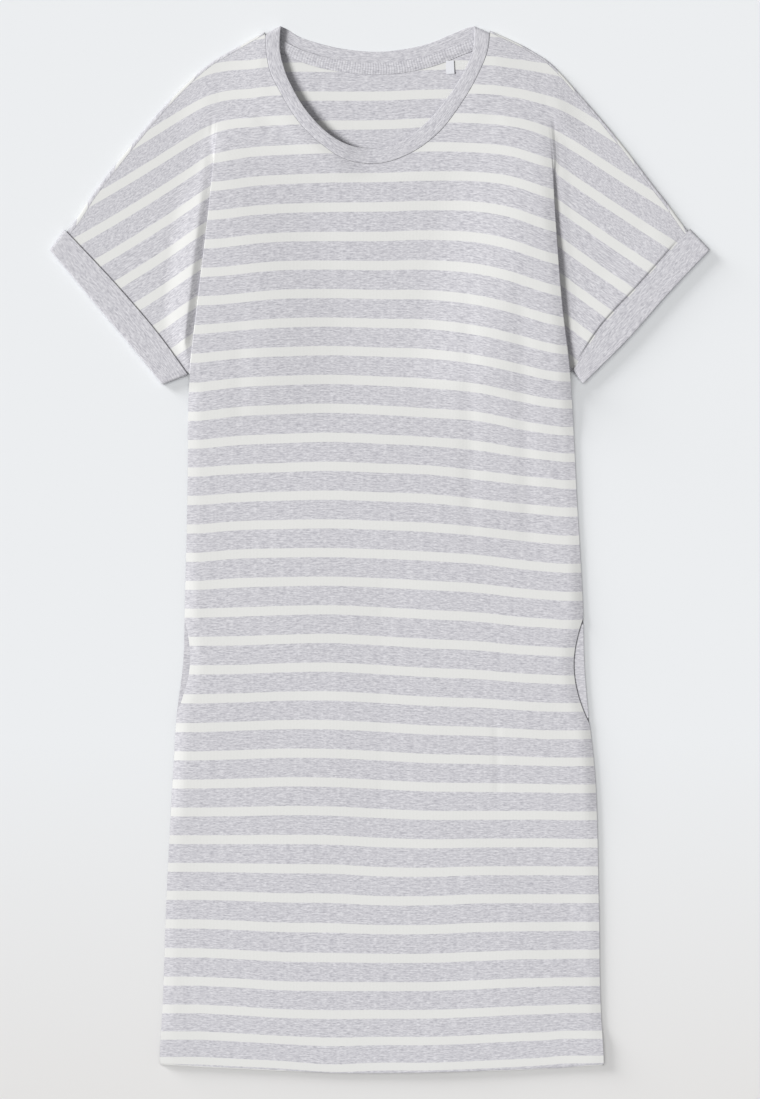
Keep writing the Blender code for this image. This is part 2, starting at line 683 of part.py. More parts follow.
def cuff_grid(side, along_parts):
    """A cuff: a flat loop round the sleeve's end, carried from its free edge round its outer end and inside."""
    length = cuff_length(side)
    bend = CUFF_RISE + WALL / 2
    angles = np.linspace(0, np.pi, 5)[1:-1]
    straight = np.linspace(bend, length - bend, along_parts + 1)
    centre = np.r_[straight, np.full(3, length - bend), straight[::-1], np.full(3, bend)]
    lean = np.r_[0 * straight, np.sin(angles), 0 * straight, -np.sin(angles)]
    lift = np.r_[0 * straight + 1, np.cos(angles), 0 * straight - 1, -np.cos(angles)]
    profile = []
    for depth, inset in CUFF_PROFILE:
        radius = CUFF_RISE - inset
        plan = cuff_point(side, centre + lean * radius, np.full_like(centre, depth / CUFF_DEPTH))
        profile.append(np.column_stack([plan, CUFF_MIDDLE + lift * radius]))
    return np.array(profile)


def material(name, colour, roughness=0.9):
    made = bpy.data.materials.new(name)
    made.use_nodes = True
    shader = made.node_tree.nodes["Principled BSDF"]
    shader.inputs["Base Color"].default_value = colour
    shader.inputs["Roughness"].default_value = roughness
    made.diffuse_color = colour
    return made


def cloth(name, grid, wall, colour, ring=False):
    """A wall of cloth round a grid of points in millimetres. nan points are left out, and a ring closes."""
    rows, columns = grid.shape[:2]
    used = ~np.isnan(grid[..., 0])
    number = np.full((rows, columns), -1)
    number[used] = np.arange(used.sum())
    after = np.roll(number, -1, axis=1) if ring else number[:, 1:]
    before = number if ring else number[:, :-1]
    corners = np.stack([before[:-1], after[:-1], after[1:], before[1:]], -1).reshape(-1, 4)
    corners = corners[(corners >= 0).all(1)]
    mesh = bpy.data.meshes.new(name)
    mesh.from_pydata((grid[used] * MM).tolist(), [], corners.tolist())
    mesh.shade_smooth()
    obj = bpy.data.objects.new(name, mesh)
    solid = obj.modifiers.new("Cloth wall", "SOLIDIFY")
    solid.thickness = wall * MM
    solid.offset = 0
    solid.use_even_offset = True
    mesh.materials.append(material(name, colour))
    bpy.data.collections["Nightshirt"].objects.link(obj)
    return obj


def main():
    for obj in list(bpy.data.objects):
        bpy.data.objects.remove(obj)
    bpy.context.scene.collection.children.link(bpy.data.collections.new("Nightshirt"))

    front, back, seams = body_grids(ROWS, INSETS, 1, 12, 1, (0.3, 0.55, 0.8, 1), 4)
    cloth("front", front, WALL, MELANGE)
    cloth("back", back, WALL, MELANGE)
    cloth("neckband", neck_ring(*seams, 3).transpose(1, 0, 2), BAND_WALL, MELANGE, ring=True)
    cloth("neck_tape", tape_grid(), TRIM_WALL, MELANGE)
    cloth("label", label_grid(), TRIM_WALL, WHITE)
    for name, side, upper, lower, _ in POCKETS:
        cloth("pocket_" + name, pocket_grid(side, upper, lower), WALL, MELANGE)
        cloth("cuff_" + name, cuff_grid(side, 10), WALL, MELANGE, ring=True)


main()
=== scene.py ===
# %% [markdown]
# # A striped jersey nightshirt, laid flat
#
# The object is a knee-length nightshirt of soft cotton jersey, with white stripes on grey melange. It has a
# wide scooped neck with a plain band, short sleeves cut in one with the body and ending in turned-up cuffs,
# and two pockets whose curved mouths open in the side edges. It lies on its back on a pale floor, and the
# camera looks straight down at it.
#
# Laid cloth rests on the floor and on itself, so nothing here needs a simulation. Every piece is a surface of
# numbers: a grid of points worked out with numpy, given a thin wall by Blender's Solidify. All sizes are in
# millimetres until a mesh is made. +Y runs from the hem to the neck, +X to the right and +Z up.

import bpy
import numpy as np
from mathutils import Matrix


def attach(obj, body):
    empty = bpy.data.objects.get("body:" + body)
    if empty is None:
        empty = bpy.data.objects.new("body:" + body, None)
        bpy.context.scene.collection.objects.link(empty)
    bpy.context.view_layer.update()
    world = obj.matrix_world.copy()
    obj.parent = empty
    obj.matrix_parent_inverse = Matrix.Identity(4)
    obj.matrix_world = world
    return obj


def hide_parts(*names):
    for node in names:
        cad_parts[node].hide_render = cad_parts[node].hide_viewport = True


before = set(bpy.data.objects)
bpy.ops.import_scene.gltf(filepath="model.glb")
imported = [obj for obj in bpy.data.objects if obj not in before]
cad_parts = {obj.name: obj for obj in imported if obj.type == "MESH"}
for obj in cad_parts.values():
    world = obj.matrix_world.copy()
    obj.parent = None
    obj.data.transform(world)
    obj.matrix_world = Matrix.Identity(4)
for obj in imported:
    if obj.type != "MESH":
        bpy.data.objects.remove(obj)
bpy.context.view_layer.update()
MM = 0.001

# %% [markdown]
# ## Layers of cloth
#
# At an underarm six layers of jersey lie on each other: the back, the sleeve folded in over it, the sleeve
# itself, and the same again upwards to the front. One number for the wall and one for the gap place them
# all, so no two layers can touch. The wall that is shown is a little thinner than the one they are placed by.
# A cut edge looks crisp where a second line of points runs close to it.

# %% Wall and layers
WALL = 1.2
SHOWN_WALL = 1.0
SEAM_LINE = 0.15
CRISP = 0.15
PITCH = WALL + 0.4
BODY_BACK, RETURN_BACK, SLEEVE_BACK, SLEEVE_FRONT, RETURN_FRONT = WALL / 2 + PITCH * np.arange(5)
AIR_IN_FOLD = 5.6
BODY_FRONT = WALL / 2 + PITCH * 5 + AIR_IN_FOLD
print("middle heights of the layers at an underarm:", BODY_BACK, SLEEVE_BACK, SLEEVE_FRONT, BODY_FRONT)

# %% [markdown]
# ## Smooth lines through measured places
#
# A garment's edges are soft curves. Each is a short table of measured places, and these functions draw a
# cubic through them. The same cubic, kept level at every place, eases a height from one value to the next.


# %% Lines
def cubic(t, knots, values, slopes):
    """Between two knots: the cubic that has their values and slopes. Values may be numbers or whole rows."""
    t = np.asarray(t, float)
    i = np.clip(np.searchsorted(knots, t) - 1, 0, len(knots) - 2)
    step = knots[i + 1] - knots[i]
    u = np.clip((t - knots[i]) / step, 0, 1)
    more = (1,) * (values.ndim - 1)
    u = u.reshape(u.shape + more)
    step = step.reshape(step.shape + more)
    start = (1 + 2 * u) * (1 - u) ** 2 * values[i] + u * (1 - u) ** 2 * step * slopes[i]
    end = u**2 * (3 - 2 * u) * values[i + 1] - u**2 * (1 - u) * step * slopes[i + 1]
    return start + end


def curve(t, knots, values):
    """A smooth line through the knots, with each slope taken from the knots on both sides."""
    knots = np.asarray(knots, float)
    values = np.asarray(values, float)
    return cubic(t, knots, values, np.gradient(values, knots, axis=0))


def ease(t, knots, values):
    """A line that eases from each knot to the next and is level at every knot."""
    knots = np.asarray(knots, float)
    values = np.asarray(values, float)
    return cubic(t, knots, values, np.zeros_like(values))


def smooth(t):
    """0 below 0, 1 above 1, and 3t² − 2t³ between."""
    t = np.clip(t, 0, 1)
    return t * t * (3 - 2 * t)


def mix(a, b, share):
    """a where the share is 0, b where it is 1, and in proportion between."""
    return a + (b - a) * share


def column(table, index):
    """One named column of a table."""
    return [row[index] for row in table]


# %% [markdown]
# ## The outline
#
# Seen from above, the nightshirt is bounded by its side edges, the hem, and the line that runs from the neck
# over the shoulder and down the sleeve. Each table holds real sizes, taken from the photograph at
# 1.05 mm a pixel.

# %% Side edges, hem and shoulders
HEM_Y = -549
UNDERARM_Y = 184
YOKE_Y = 385
FOLD_START_Y = 430
SHOULDER_Y = 512
FOLD_TANGENT = 0.268

# y, left edge, right edge. Above the underarm it is the fold that lies over the sleeve.
SIDES = (
    (-541, 231.5, 235.0),
    (-482, 228.5, 232.0),
    (-368, 224.5, 230.0),
    (-220, 216.5, 224.5),
    (-171, 213.5, 219.0),
    (-118, 207.0, 214.8),
    (-74, 205.5, 213.8),
    (52, 202.5, 207.0),
    (184, 199.5, 199.2),
    (262, 191.0, 190.2),
    (346, 181.0, 184.0),
    (420, 173.5, 179.5),
    (450, 171.0, 177.0),
    (512, 172.0, 172.0),
)
# x, y
HEM = (
    (-232, -539.0),
    (-186, -542.0),
    (-106, -546.0),
    (-50, -549.0),
    (25, -549.0),
    (69, -548.0),
    (148, -545.0),
    (209, -541.5),
    (236, -540.0),
)
HEM_TURN = 20
# The hem's curve fades out upwards as far as this y
HEM_FADE_Y = -450
# The back shows below the front's hem, but not in the middle: how much, middle x, over which distance
BACK_HEM_SHOWS = (1.5, 10, 60)

# Distance from the middle, left y, right y
SHOULDERS = (
    (116, 545.0, 544.2),
    (157, 522.5, 524.8),
    (178, 510.0, 511.2),
    (210, 482.0, 477.2),
    (252, 435.0, 428.0),
    (294, 382.5, 373.5),
    (322, 344.5, 339.0),
    (331, 333.5, 328.0),
)
# Distance of the shoulder seam from the outline, at the neck and at the cuff
SEAM_INSET = (2.6, 4.6)
# Beside the neck the seam lies straight below the outline, and from here it turns square to it: x, width
NECK_TURN = (118, 30)

# Pocket mouths in the side edges: name, side, upper end, lower end, depth of the curve
POCKETS = (
    ("left", -1, -74, -172, 7.5),
    ("right", 1, -72, -183, 11.6),
)
MOUTH_FLATNESS = 0.85


def edge_x(y, side):
    """Distance of the body's side edge from the middle."""
    return curve(y, column(SIDES, 0), column(SIDES, 1 if side < 0 else 2))


def mouth(y, side):
    """How far a pocket's mouth cuts into the side edge: its depth times a sine, a little flattened."""
    upper, lower, depth = POCKETS[0 if side < 0 else 1][2:]
    share = np.clip((upper - y) / (upper - lower), 0, 1)
    return depth * np.sin(np.pi * share) ** MOUTH_FLATNESS


def outline_y(x, side):
    """Height of the shoulder and sleeve outline at a distance from the middle."""
    return curve(x, column(SHOULDERS, 0), column(SHOULDERS, 1 if side < 0 else 2))


def outline_slope(x, side):
    """Slope of that outline, as the difference over 2 mm."""
    return (outline_y(x + 1, side) - outline_y(x - 1, side)) / 2


def seam_inset(x):
    """Distance of the shoulder seam from the outline, growing in proportion from the neck to the cuff."""
    return np.interp(x, (SHOULDERS[0][0], SHOULDERS[-1][0]), SEAM_INSET)


def shoulder_point(x, side, inset):
    """A point at a distance inside the outline, square to it. Beside the neck the inset is straight down."""
    across = outline_slope(x, side) * smooth((x - NECK_TURN[0]) / NECK_TURN[1])
    size = np.hypot(across, 1)
    return side * (x + inset * across / size), outline_y(x, side) - inset / size


widths = [float(edge_x(y, -1) + edge_x(y, 1)) for y in (SIDES[0][0], -50, UNDERARM_Y)]
print("widths at the hem, waist and underarm:", widths)

# %% [markdown]
# ## The necklines
#
# The front is scooped low and the back only a little. Each table runs from the left shoulder to the right
# one, and gives both edges of the neckband there: its seam, and its free edge.

# %% Necklines
# Seam x, seam y, free edge x, free edge y
FRONT_NECK = (
    (-120.5, 541.5, -104.0, 549.0),
    (-119.5, 522.0, -105.0, 526.0),
    (-115.5, 501.0, -100.0, 502.8),
    (-105.0, 479.5, -91.3, 482.8),
    (-84.0, 446.0, -73.3, 454.8),
    (-63.0, 425.5, -54.3, 435.8),
    (-38.0, 409.5, -32.6, 423.9),
    (-3.0, 404.5, -3.0, 420.8),
    (34.0, 416.5, 25.5, 430.0),
    (63.0, 438.5, 52.0, 451.0),
    (84.0, 465.5, 70.5, 473.5),
    (103.0, 498.0, 87.5, 500.5),
    (113.0, 523.0, 98.0, 526.5),
    (115.5, 543.2, 98.5, 549.0),
)
BACK_NECK = (
    (-120.5, 541.5, -104.0, 549.0),
    (-108.0, 531.0, -98.0, 546.5),
    (-91.0, 521.5, -84.0, 538.0),
    (-69.0, 513.5, -63.0, 531.0),
    (-34.0, 506.5, -31.5, 524.5),
    (-5.0, 504.5, -5.0, 522.5),
    (24.0, 506.5, 21.0, 524.5),
    (57.0, 514.0, 52.5, 531.5),
    (80.0, 523.0, 73.5, 540.0),
    (102.0, 533.0, 91.5, 547.5),
    (115.5, 543.2, 98.5, 549.0),
)


def neck_line(is_front, share):
    """Places along a neckline, by their share of its length: seam x, seam y, free edge x, free edge y."""
    table = np.array(FRONT_NECK if is_front else BACK_NECK)
    for row, side in ((0, -1), (-1, 1)):
        x = abs(table[row, 0])
        table[row, :2] = shoulder_point(x, side, seam_inset(x) - (0 if is_front else SEAM_LINE))
    length = np.r_[0, np.cumsum(np.hypot(*np.diff(table[:, :2], axis=0).T))]
    return curve(share * length[-1], length, table)


# %% [markdown]
# ## How high the cloth lies
#
# The front lies on the back, over the pockets and over the folded sleeves, and it rolls down to a thin edge
# at its sides. The table gives its height along the side edge, close to that edge and in the middle.
# Real cloth is never quite level: a few long soft creases and a faint swell are added, and the light from
# the side makes them show.

# %% Heights and creases
# y, height at the side edge, near the edge, in the middle
HEIGHTS = (
    (-549, 5.0, 5.4, 5.4),
    (-524, 5.0, 5.4, 5.4),
    (-500, 2.2, 3.6, 4.9),
    (-310, 2.2, 3.1, 4.2),
    (-250, 2.2, 5.4, 4.3),
    (-190, 2.2, 5.4, 4.4),
    (-176, 3.4, 5.4, 4.4),
    (-78, 3.4, 5.4, 4.4),
    (-62, 2.2, 5.4, 4.4),
    (-40, 2.2, 5.2, 4.4),
    (30, 2.2, 3.3, 4.4),
    (110, 2.6, 4.2, 4.6),
    (160, 5.8, 8.6, 4.8),
    (184, 11.4, BODY_FRONT, 4.9),
    (290, 12.6, BODY_FRONT, 5.3),
    (350, 10.2, 12.6, 5.3),
    (395, 9.0, 10.6, 5.3),
    (425, 8.2, 9.2, 5.4),
    (458, 6.6, 6.8, 5.4),
    (512, 5.0, 5.0, 5.4),
)
# Width of the band along the side that has the height near the edge: y, width
EDGE_BANDS = (
    (-549, 20),
    (-320, 20),
    (-280, 150),
    (-40, 150),
    (20, 20),
    (120, 45),
    (184, 72),
    (395, 14),
    (512, 8),
)
EDGE_FALL = 100
# The fold is pressed flatter on the left: the front's greatest height there, on the left and on the right
FOLD_CEILINGS = (8.9, BODY_FRONT)
EDGE_BELOW_CEILING = 0.3
ROLL = 14
# Lift of the front at the neck, on the left and on the right: height, distance from the middle, half width,
# and between which y it grows
NECK_LIFTS = (
    (6.0, 78, 54, 345, 490),
    (1.8, 112, 38, YOKE_Y, SHOULDER_Y),
)
# The lift fades out towards the middle of the neck over this distance
LIFT_FADE = 45
# The back's side edge rises to meet the front's as far as this, and less at the underarm
BACK_JOINED_Y = 145
BACK_OPEN_RISE = 0.8
BACK_RISE_FADE = 20
# The back stays level at the pockets, between these y, and at the hem, below this y
POCKET_LEVEL_Y = (-192, -60)
HEM_LEVEL_Y = -500
# Soft creases of the front: x at the top, x at the bottom, top y, bottom y, half width, depth
CREASES = (
    (92, 96, 300, -20, 9, 0.8),
    (146, 158, 300, -30, 10, 0.9),
    (-147, -147, 245, 120, 9, 0.5),
    (122, 124, -165, -275, 3.5, 0.5),
)
# They start this far from the side edge
CREASE_START = 40
# Faint swell of laid cloth: wavelength across, wavelength along, shift, height
SWELL = (
    (310, 190, 0.4, 0.30),
    (170, 260, 2.1, 0.22),
    (95, 120, 4.0, 0.10),
)


def creases(x, y):
    """Troughs with the profile −depth·e^(−d²) across, fading in and out along, plus crossed sine waves."""
    height = np.zeros_like(x)
    for top_x, bottom_x, top, bottom, width, depth in CREASES:
        share = (top - y) / (top - bottom)
        middle = mix(top_x, bottom_x, share)
        fade = smooth(4 * share) * smooth(4 * (1 - share))
        height -= depth * fade * np.exp(-(((x - middle) / width) ** 2))
    for across, along, shift, size in SWELL:
        height += size * np.sin(2 * np.pi * x / across + shift) * np.cos(2 * np.pi * y / along - shift)
    return height


def front_height(y, inset, x, side):
    """Middle height of the front's wall, by row, distance from the side edge, and x."""
    rows = column(HEIGHTS, 0)
    ceiling = np.where(side < 0, *FOLD_CEILINGS)
    at_edge = np.minimum(ease(y, rows, column(HEIGHTS, 1)), ceiling - EDGE_BELOW_CEILING)
    near = np.minimum(ease(y, rows, column(HEIGHTS, 2)), ceiling)
    centre = ease(y, rows, column(HEIGHTS, 3))
    width = np.interp(y, column(EDGE_BANDS, 0), column(EDGE_BANDS, 1))
    height = mix(near, centre, smooth((inset - width) / EDGE_FALL))
    height = height + creases(x, y) * smooth(inset / CREASE_START)
    lift, middle, half_width, low, high = np.where(np.expand_dims(side, -1) < 0, *NECK_LIFTS).T
    bump = np.exp(-(((np.abs(x) - middle) / half_width) ** 2)) * smooth(np.abs(x) / LIFT_FADE)
    lift = lift * smooth((y - low) / (high - low)) * bump
    roll = np.sin(np.pi / 2 * np.clip(inset / ROLL, 0, 1))
    return at_edge + (height - at_edge) * roll + lift


def back_height(y, inset, x, side):
    """The back is flat on the floor, and its side edges rise to meet the front's as far as the underarm. It is
    the same at every x and on both sides, which are given only so that both heights are called alike."""
    joined = ease(y, column(HEIGHTS, 0), column(HEIGHTS, 1)) - PITCH - BODY_BACK
    rise = mix(joined, BACK_OPEN_RISE, smooth((y - BACK_JOINED_Y) / (UNDERARM_Y - BACK_JOINED_Y)))
    rise = rise * (1 - smooth((y - FOLD_START_Y) / BACK_RISE_FADE))
    at_pocket = (y > POCKET_LEVEL_Y[0]) & (y < POCKET_LEVEL_Y[1])
    rise = np.where(at_pocket | (y < HEM_LEVEL_Y), 0, rise)
    return BODY_BACK + rise * (1 - np.sin(np.pi / 2 * np.clip(inset / ROLL, 0, 1)))


# %% [markdown]
# ## Where the stripes run
#
# The stripes are knitted in, 30 mm apart, so they follow the cloth and not the floor. A stripe number is
# found for every point of the cloth: stripe 0 is level with the middle of the sleeves, and numbers grow
# towards the hem. On the body a table says how far each stripe hangs below a straight line. On a sleeve the
# cloth has turned, so its stripes slope down: a curved plane is fitted to places measured along them.
# The stripe number goes into the cloth's UV map, and the knit is drawn from that.

# %% Stripe numbers
STRIPE_PITCH = 30.17
STRIPE_START_Y = 389.0
# Columns of the drop table, as x
DROP_COLUMNS = (-189, -147, -105, -52, 0, 52, 105, 147, 178, 191)
# Stripe number, then the stripe's drop at each column
DROPS = (
    (-3, 2, 1, -1, -1, -1, -3, -3, 0, 6, 9),
    (-1, 8, 3, 1, -0.5, -1, -3, -1.5, 3, 11, 15),
    (0, 8, 4, 1.5, -0.5, -1, -2.5, -1.5, 4.5, 14, 18),
    (2, 8, 4.5, 1.5, 0.5, 0.5, -1, 2.5, 12, 22, 26),
    (4, 7.5, 4.5, 1, 0, 1, 1.5, 8, 18, 27, 30),
    (6, 7.5, 3, 1, -0.5, 1, 3, 10, 19, 26, 27.5),
    (8, 8, 3, 1, -0.5, 1.5, 4.5, 8.5, 17, 22, 23.5),
    (10, 6, 3, 1.5, 0, 2, 4, 9.5, 14.5, 17.5, 19),
    (13, 5, 1.5, 0.5, 0, 1.5, 4, 7.5, 12.5, 15.5, 16.5),
    (16, 2.5, 2, 0.5, -0.5, 2, 5, 7.5, 11.5, 13, 14),
    (19, 2.5, 1, -0.5, -0.5, 2, 5, 6.5, 8.5, 10, 10),
    (22, 0.5, 0, -1, -0.5, 2, 4, 4, 4, 4, 4.5),
    (25, -2.5, -1.5, 0, 0.5, 3, 3, 1, 1, 1, 1),
    (28, -3, -1, 1.5, 2.5, 2.5, 2.5, 0.5, -1.5, -2, -2.5),
    (29.5, -5, -3, -0.5, 1, 0.5, 0.5, -1.5, -3.5, -4.5, -5.5),
    (31, -10, -8, -6, -2, -4, -4, -6, -8, -10, -11.5),
)
BACK_DROP = 4.5
# At the shoulders the cloth turns, and the stripes hang lower: distance from the middle, half width
SHOULDER_TURN = (167, 26)
# y, how much lower
SHOULDER_DROPS = (
    (200, 0),
    (310, 1.5),
    (385, 2.2),
    (415, 3.8),
    (445, 4.7),
    (475, 6.3),
    (520, 6.3),
)

# Distances from the middle at which the sleeve stripes were measured
SLEEVE_COLUMNS = (189, 199.5, 210, 226, 241.5, 257, 273, 289, 304.5)
HIDDEN = np.nan
# Stripe number, then its y at each distance
LEFT_SLEEVE = (
    (-3, 468, 462, 456, 445, 434, HIDDEN, HIDDEN, HIDDEN, HIDDEN),
    (-2, 435, 429, 423, 413, 402, 392, 382, 372, HIDDEN),
    (-1, 402, 395, 389, 379, 369, 358, 349, 340, 331),
    (0, 369, 361, 355, 345, 333, 323, 314, 306, HIDDEN),
    (1, 333, 326, 319, 308, 298, 289, 280, HIDDEN, HIDDEN),
    (2, 297, 290, 283, 272, 262, 252, HIDDEN, HIDDEN, HIDDEN),
    (3, HIDDEN, 255, 247, 238, HIDDEN, HIDDEN, HIDDEN, HIDDEN, HIDDEN),
    (4, HIDDEN, 220, 212, HIDDEN, HIDDEN, HIDDEN, HIDDEN, HIDDEN, HIDDEN),
)
RIGHT_SLEEVE = (
    (-3, 467, 462, 456, 445, 432, HIDDEN, HIDDEN, HIDDEN, HIDDEN),
    (-2, 433, 427, 420, 411, 402, 389, 377, 366, HIDDEN),
    (-1, 398, 390, 384, 374, 363, 352, 341, 332, 321),
    (0, HIDDEN, 352, 344, 333, 322, 311, 301, 293, HIDDEN),
    (1, HIDDEN, 313, 305, 293, 283, 272, HIDDEN, HIDDEN, HIDDEN),
    (2, HIDDEN, HIDDEN, 268, 256, 245, HIDDEN, HIDDEN, HIDDEN, HIDDEN),
    (3, HIDDEN, HIDDEN, 230, 222, HIDDEN, HIDDEN, HIDDEN, HIDDEN, HIDDEN),
)
# Distances from the middle over which the body's stripes turn into the sleeve's
STRIPE_TURN = (132, 202)
# The sleeves' fitted surface counts from this place, in this unit
SLEEVE_CENTRE = (240, 340)
SLEEVE_UNIT = 100


def bent_plane(distance, y):
    """The terms of a surface of the second degree: 1, x, y, x², xy, y²."""
    x = (distance - SLEEVE_CENTRE[0]) / SLEEVE_UNIT
    y = (y - SLEEVE_CENTRE[1]) / SLEEVE_UNIT
    return np.stack([np.ones_like(x), x, y, x * x, x * y, y * y], -1)


def sleeve_fit(table):
    """The surface of the second degree that comes nearest to the measured stripe numbers."""
    table = np.array(table, float)
    distance, y = np.broadcast_arrays(np.array(SLEEVE_COLUMNS), table[:, 1:])
    number = np.broadcast_to(table[:, :1], y.shape)
    seen = ~np.isnan(y)
    return np.linalg.lstsq(bent_plane(distance[seen], y[seen]), number[seen], rcond=None)[0]


SLEEVE_FITS = {-1: sleeve_fit(LEFT_SLEEVE), 1: sleeve_fit(RIGHT_SLEEVE)}


def shoulder_drop(x, y):
    """The extra drop at the shoulders, as a share of the stripes' pitch: e^(−d²) across, a table along."""
    across = np.exp(-(((np.abs(x) - SHOULDER_TURN[0]) / SHOULDER_TURN[1]) ** 2))
    return across * np.interp(y, column(SHOULDER_DROPS, 0), column(SHOULDER_DROPS, 1)) / STRIPE_PITCH


def body_stripe(x, y):
    """Stripe number on the body: the straight count, corrected three times by the drop found for it."""
    table = np.array(DROPS, float)
    across = curve(x, DROP_COLUMNS, np.eye(len(DROP_COLUMNS)))
    number = (STRIPE_START_Y - y) / STRIPE_PITCH
    for _ in range(3):
        drop = (curve(number, table[:, 0], table[:, 1:]) * across).sum(-1)
        number = (STRIPE_START_Y - y - drop) / STRIPE_PITCH
    return number - shoulder_drop(x, y)


def sleeve_stripe(x, y, side):
    """Stripe number on a sleeve, from its fitted surface."""
    return bent_plane(np.abs(x), y) @ SLEEVE_FITS[side]


def open_stripe(x, y, side):
    """Stripe number where the body runs on into the sleeve without a fold: one turns into the other."""
    turn = smooth((np.abs(x) - STRIPE_TURN[0]) / (STRIPE_TURN[1] - STRIPE_TURN[0]))
    return mix(body_stripe(x, y), sleeve_stripe(x, y, side) - shoulder_drop(x, y), turn)


def folded_share(rows, top=FOLD_START_Y + 4, span=38):
    """How much of the underarm fold there is at a row: none above its top, and all of it below the span."""
    return smooth((top - rows) / span)


lowest_stripe = round(float(body_stripe(np.float64(0), np.float64(HEM_Y))))
print("stripes from the shoulder to the hem:", lowest_stripe - DROPS[0][0] + 1)

# %% [markdown]
# ## The body
#
# The front and the back are each one grid of points. Below the yoke its rows run straight across. Above it
# they rise to the neckline and the shoulders, so the last row is exactly the seam that the band and the
# sleeve tops are sewn to.

# %% Body points
SHOULDER_X = 172
SEAM_LEAN = 0.76
NECK_SPREAD = 142
ROWS = np.r_[np.linspace(HEM_Y, UNDERARM_Y, 115)[:-1], np.linspace(UNDERARM_Y, SHOULDER_Y, 60)]
ROWS = np.insert(ROWS, -1, SHOULDER_Y - 2 * CRISP)
INSETS = (SHOWN_WALL / 2, SHOWN_WALL / 2 + CRISP, 1.1, 1.8, 3, 5, 8, 11, ROLL)
SHOULDER_STEPS = 9
NECK_STEPS = 110


def body_columns(is_front):
    """Columns of the body from left to right: side, distance from the side edge, yoke x, top x, top y."""
    gap = 0 if is_front else SEAM_LINE
    share = np.linspace(0, 1, NECK_STEPS + 1)
    seam = neck_line(is_front, share)[:, :2]
    halves = []
    for side in (-1, 1):
        neck_x = abs(seam[0 if side < 0 else -1, 0])
        yoke_edge = edge_x(YOKE_Y, side)
        step = np.linspace(0, 1, SHOULDER_STEPS + 2)[1:]
        outline = SHOULDER_X - SEAM_LEAN * np.array(INSETS)
        outline = np.r_[outline, mix(outline[-1], neck_x, step)]
        inset = np.r_[INSETS, mix(INSETS[-1], yoke_edge - NECK_SPREAD, step)]
        top_x, top_y = shoulder_point(outline, side, seam_inset(outline) - gap)
        halves.append(np.column_stack([side + 0 * inset, inset, side * (yoke_edge - inset), top_x, top_y]))
    yoke = mix(-NECK_SPREAD, NECK_SPREAD, share[1:-1])
    side = np.where(yoke < 0, -1, 1)
    inset = np.where(yoke < 0, edge_x(YOKE_Y, -1), edge_x(YOKE_Y, 1)) - np.abs(yoke)
    middle = np.column_stack([side, inset, yoke, seam[1:-1]])
    return np.concatenate([halves[0], middle, halves[1][::-1]])


def body_grid(is_front):
    """Points of the body: straight rows up to the yoke, then rows that rise in proportion to the last one."""
    side, inset, yoke, top_x, top_y = body_columns(is_front).T
    rows = ROWS[:, None]
    edge = np.where(side < 0, edge_x(rows, -1), edge_x(rows, 1))
    if is_front:
        edge = edge - np.where(side < 0, mouth(rows, -1), mouth(rows, 1))
    edge_yoke = np.where(side < 0, edge_x(YOKE_Y, -1), edge_x(YOKE_Y, 1))
    inner = (edge - ROLL) * np.abs(yoke) / (edge_yoke - ROLL)
    x = np.where(inset <= ROLL, side * (edge - inset), np.sign(yoke) * inner)
    hem = curve(x, column(HEM, 0), column(HEM, 1)) - HEM_Y
    if not is_front:
        shows, middle, fade = BACK_HEM_SHOWS
        hem = hem - shows * smooth((np.abs(x - middle) - fade) / fade)
    y = rows + hem * smooth((HEM_FADE_Y - rows) / (HEM_FADE_Y - HEM_Y))
    rise = np.clip((rows - YOKE_Y) / (SHOULDER_Y - YOKE_Y), 0, 1)
    lean = edge - mix(edge_yoke, SHOULDER_X, rise)
    keep = np.clip((np.abs(yoke) - NECK_SPREAD) / (edge_yoke - ROLL - NECK_SPREAD), 0, 1)
    x = np.where(rows > YOKE_Y, mix(yoke, top_x, rise) + side * lean * keep, x)
    y = np.where(rows > YOKE_Y, mix(YOKE_Y, top_y, rise), y)
    reach = np.maximum(np.where(inset <= ROLL, inset, edge - np.abs(x)) - SHOWN_WALL / 2, 0)
    height = front_height if is_front else back_height
    z = height(np.broadcast_to(rows, x.shape), reach, x, side)
    number = body_stripe(x, y)
    opened = np.where(side < 0, open_stripe(x, y, -1), open_stripe(x, y, 1))
    number = mix(opened, number, folded_share(rows))
    return np.stack([x, y, z, np.zeros_like(x), number], -1)


# %% [markdown]
# ## The sleeves
#
# Each sleeve is cut in one with its half of the front and the back. It has been pulled down as the shirt was
# laid, so its spare cloth is folded in at the underarm: under the body, round, and out again. A row of the
# sleeve starts at the body's side edge, goes through this fold, and runs straight to the cuff.

# %% Sleeve points
# Cuffs, a row for each section: edge x, edge y (on the sleeve), end x, end y (outer end)
CUFFS = {
    -1: (
        (331.0, 335.5, 346.5, 314.5),
        (273.5, 274.0, 295.5, 253.5),
        (231.5, 224.5, 257.5, 208.5),
        (201.3, 183.0, 228.0, 172.7),
    ),
    1: (
        (325.5, 336.5, 346.5, 314.5),
        (273.0, 277.5, 301.5, 267.0),
        (230.5, 230.5, 257.0, 217.0),
        (201.6, 187.0, 213.0, 173.8),
    ),
}
CUFF_RUN_UP = 24
CUFF_RISE = 2.6
CUFF_FLOOR = 2.2
CUFF_CEILING = 4.2
CUFF_SLACK = 1.9
SLEEVE_START = -0.04
SLEEVE_END = 0.73
SLEEVE_PLAIN = 4.4
SHOULDER_SLOPE = 40
SLOPE_FADE = 70
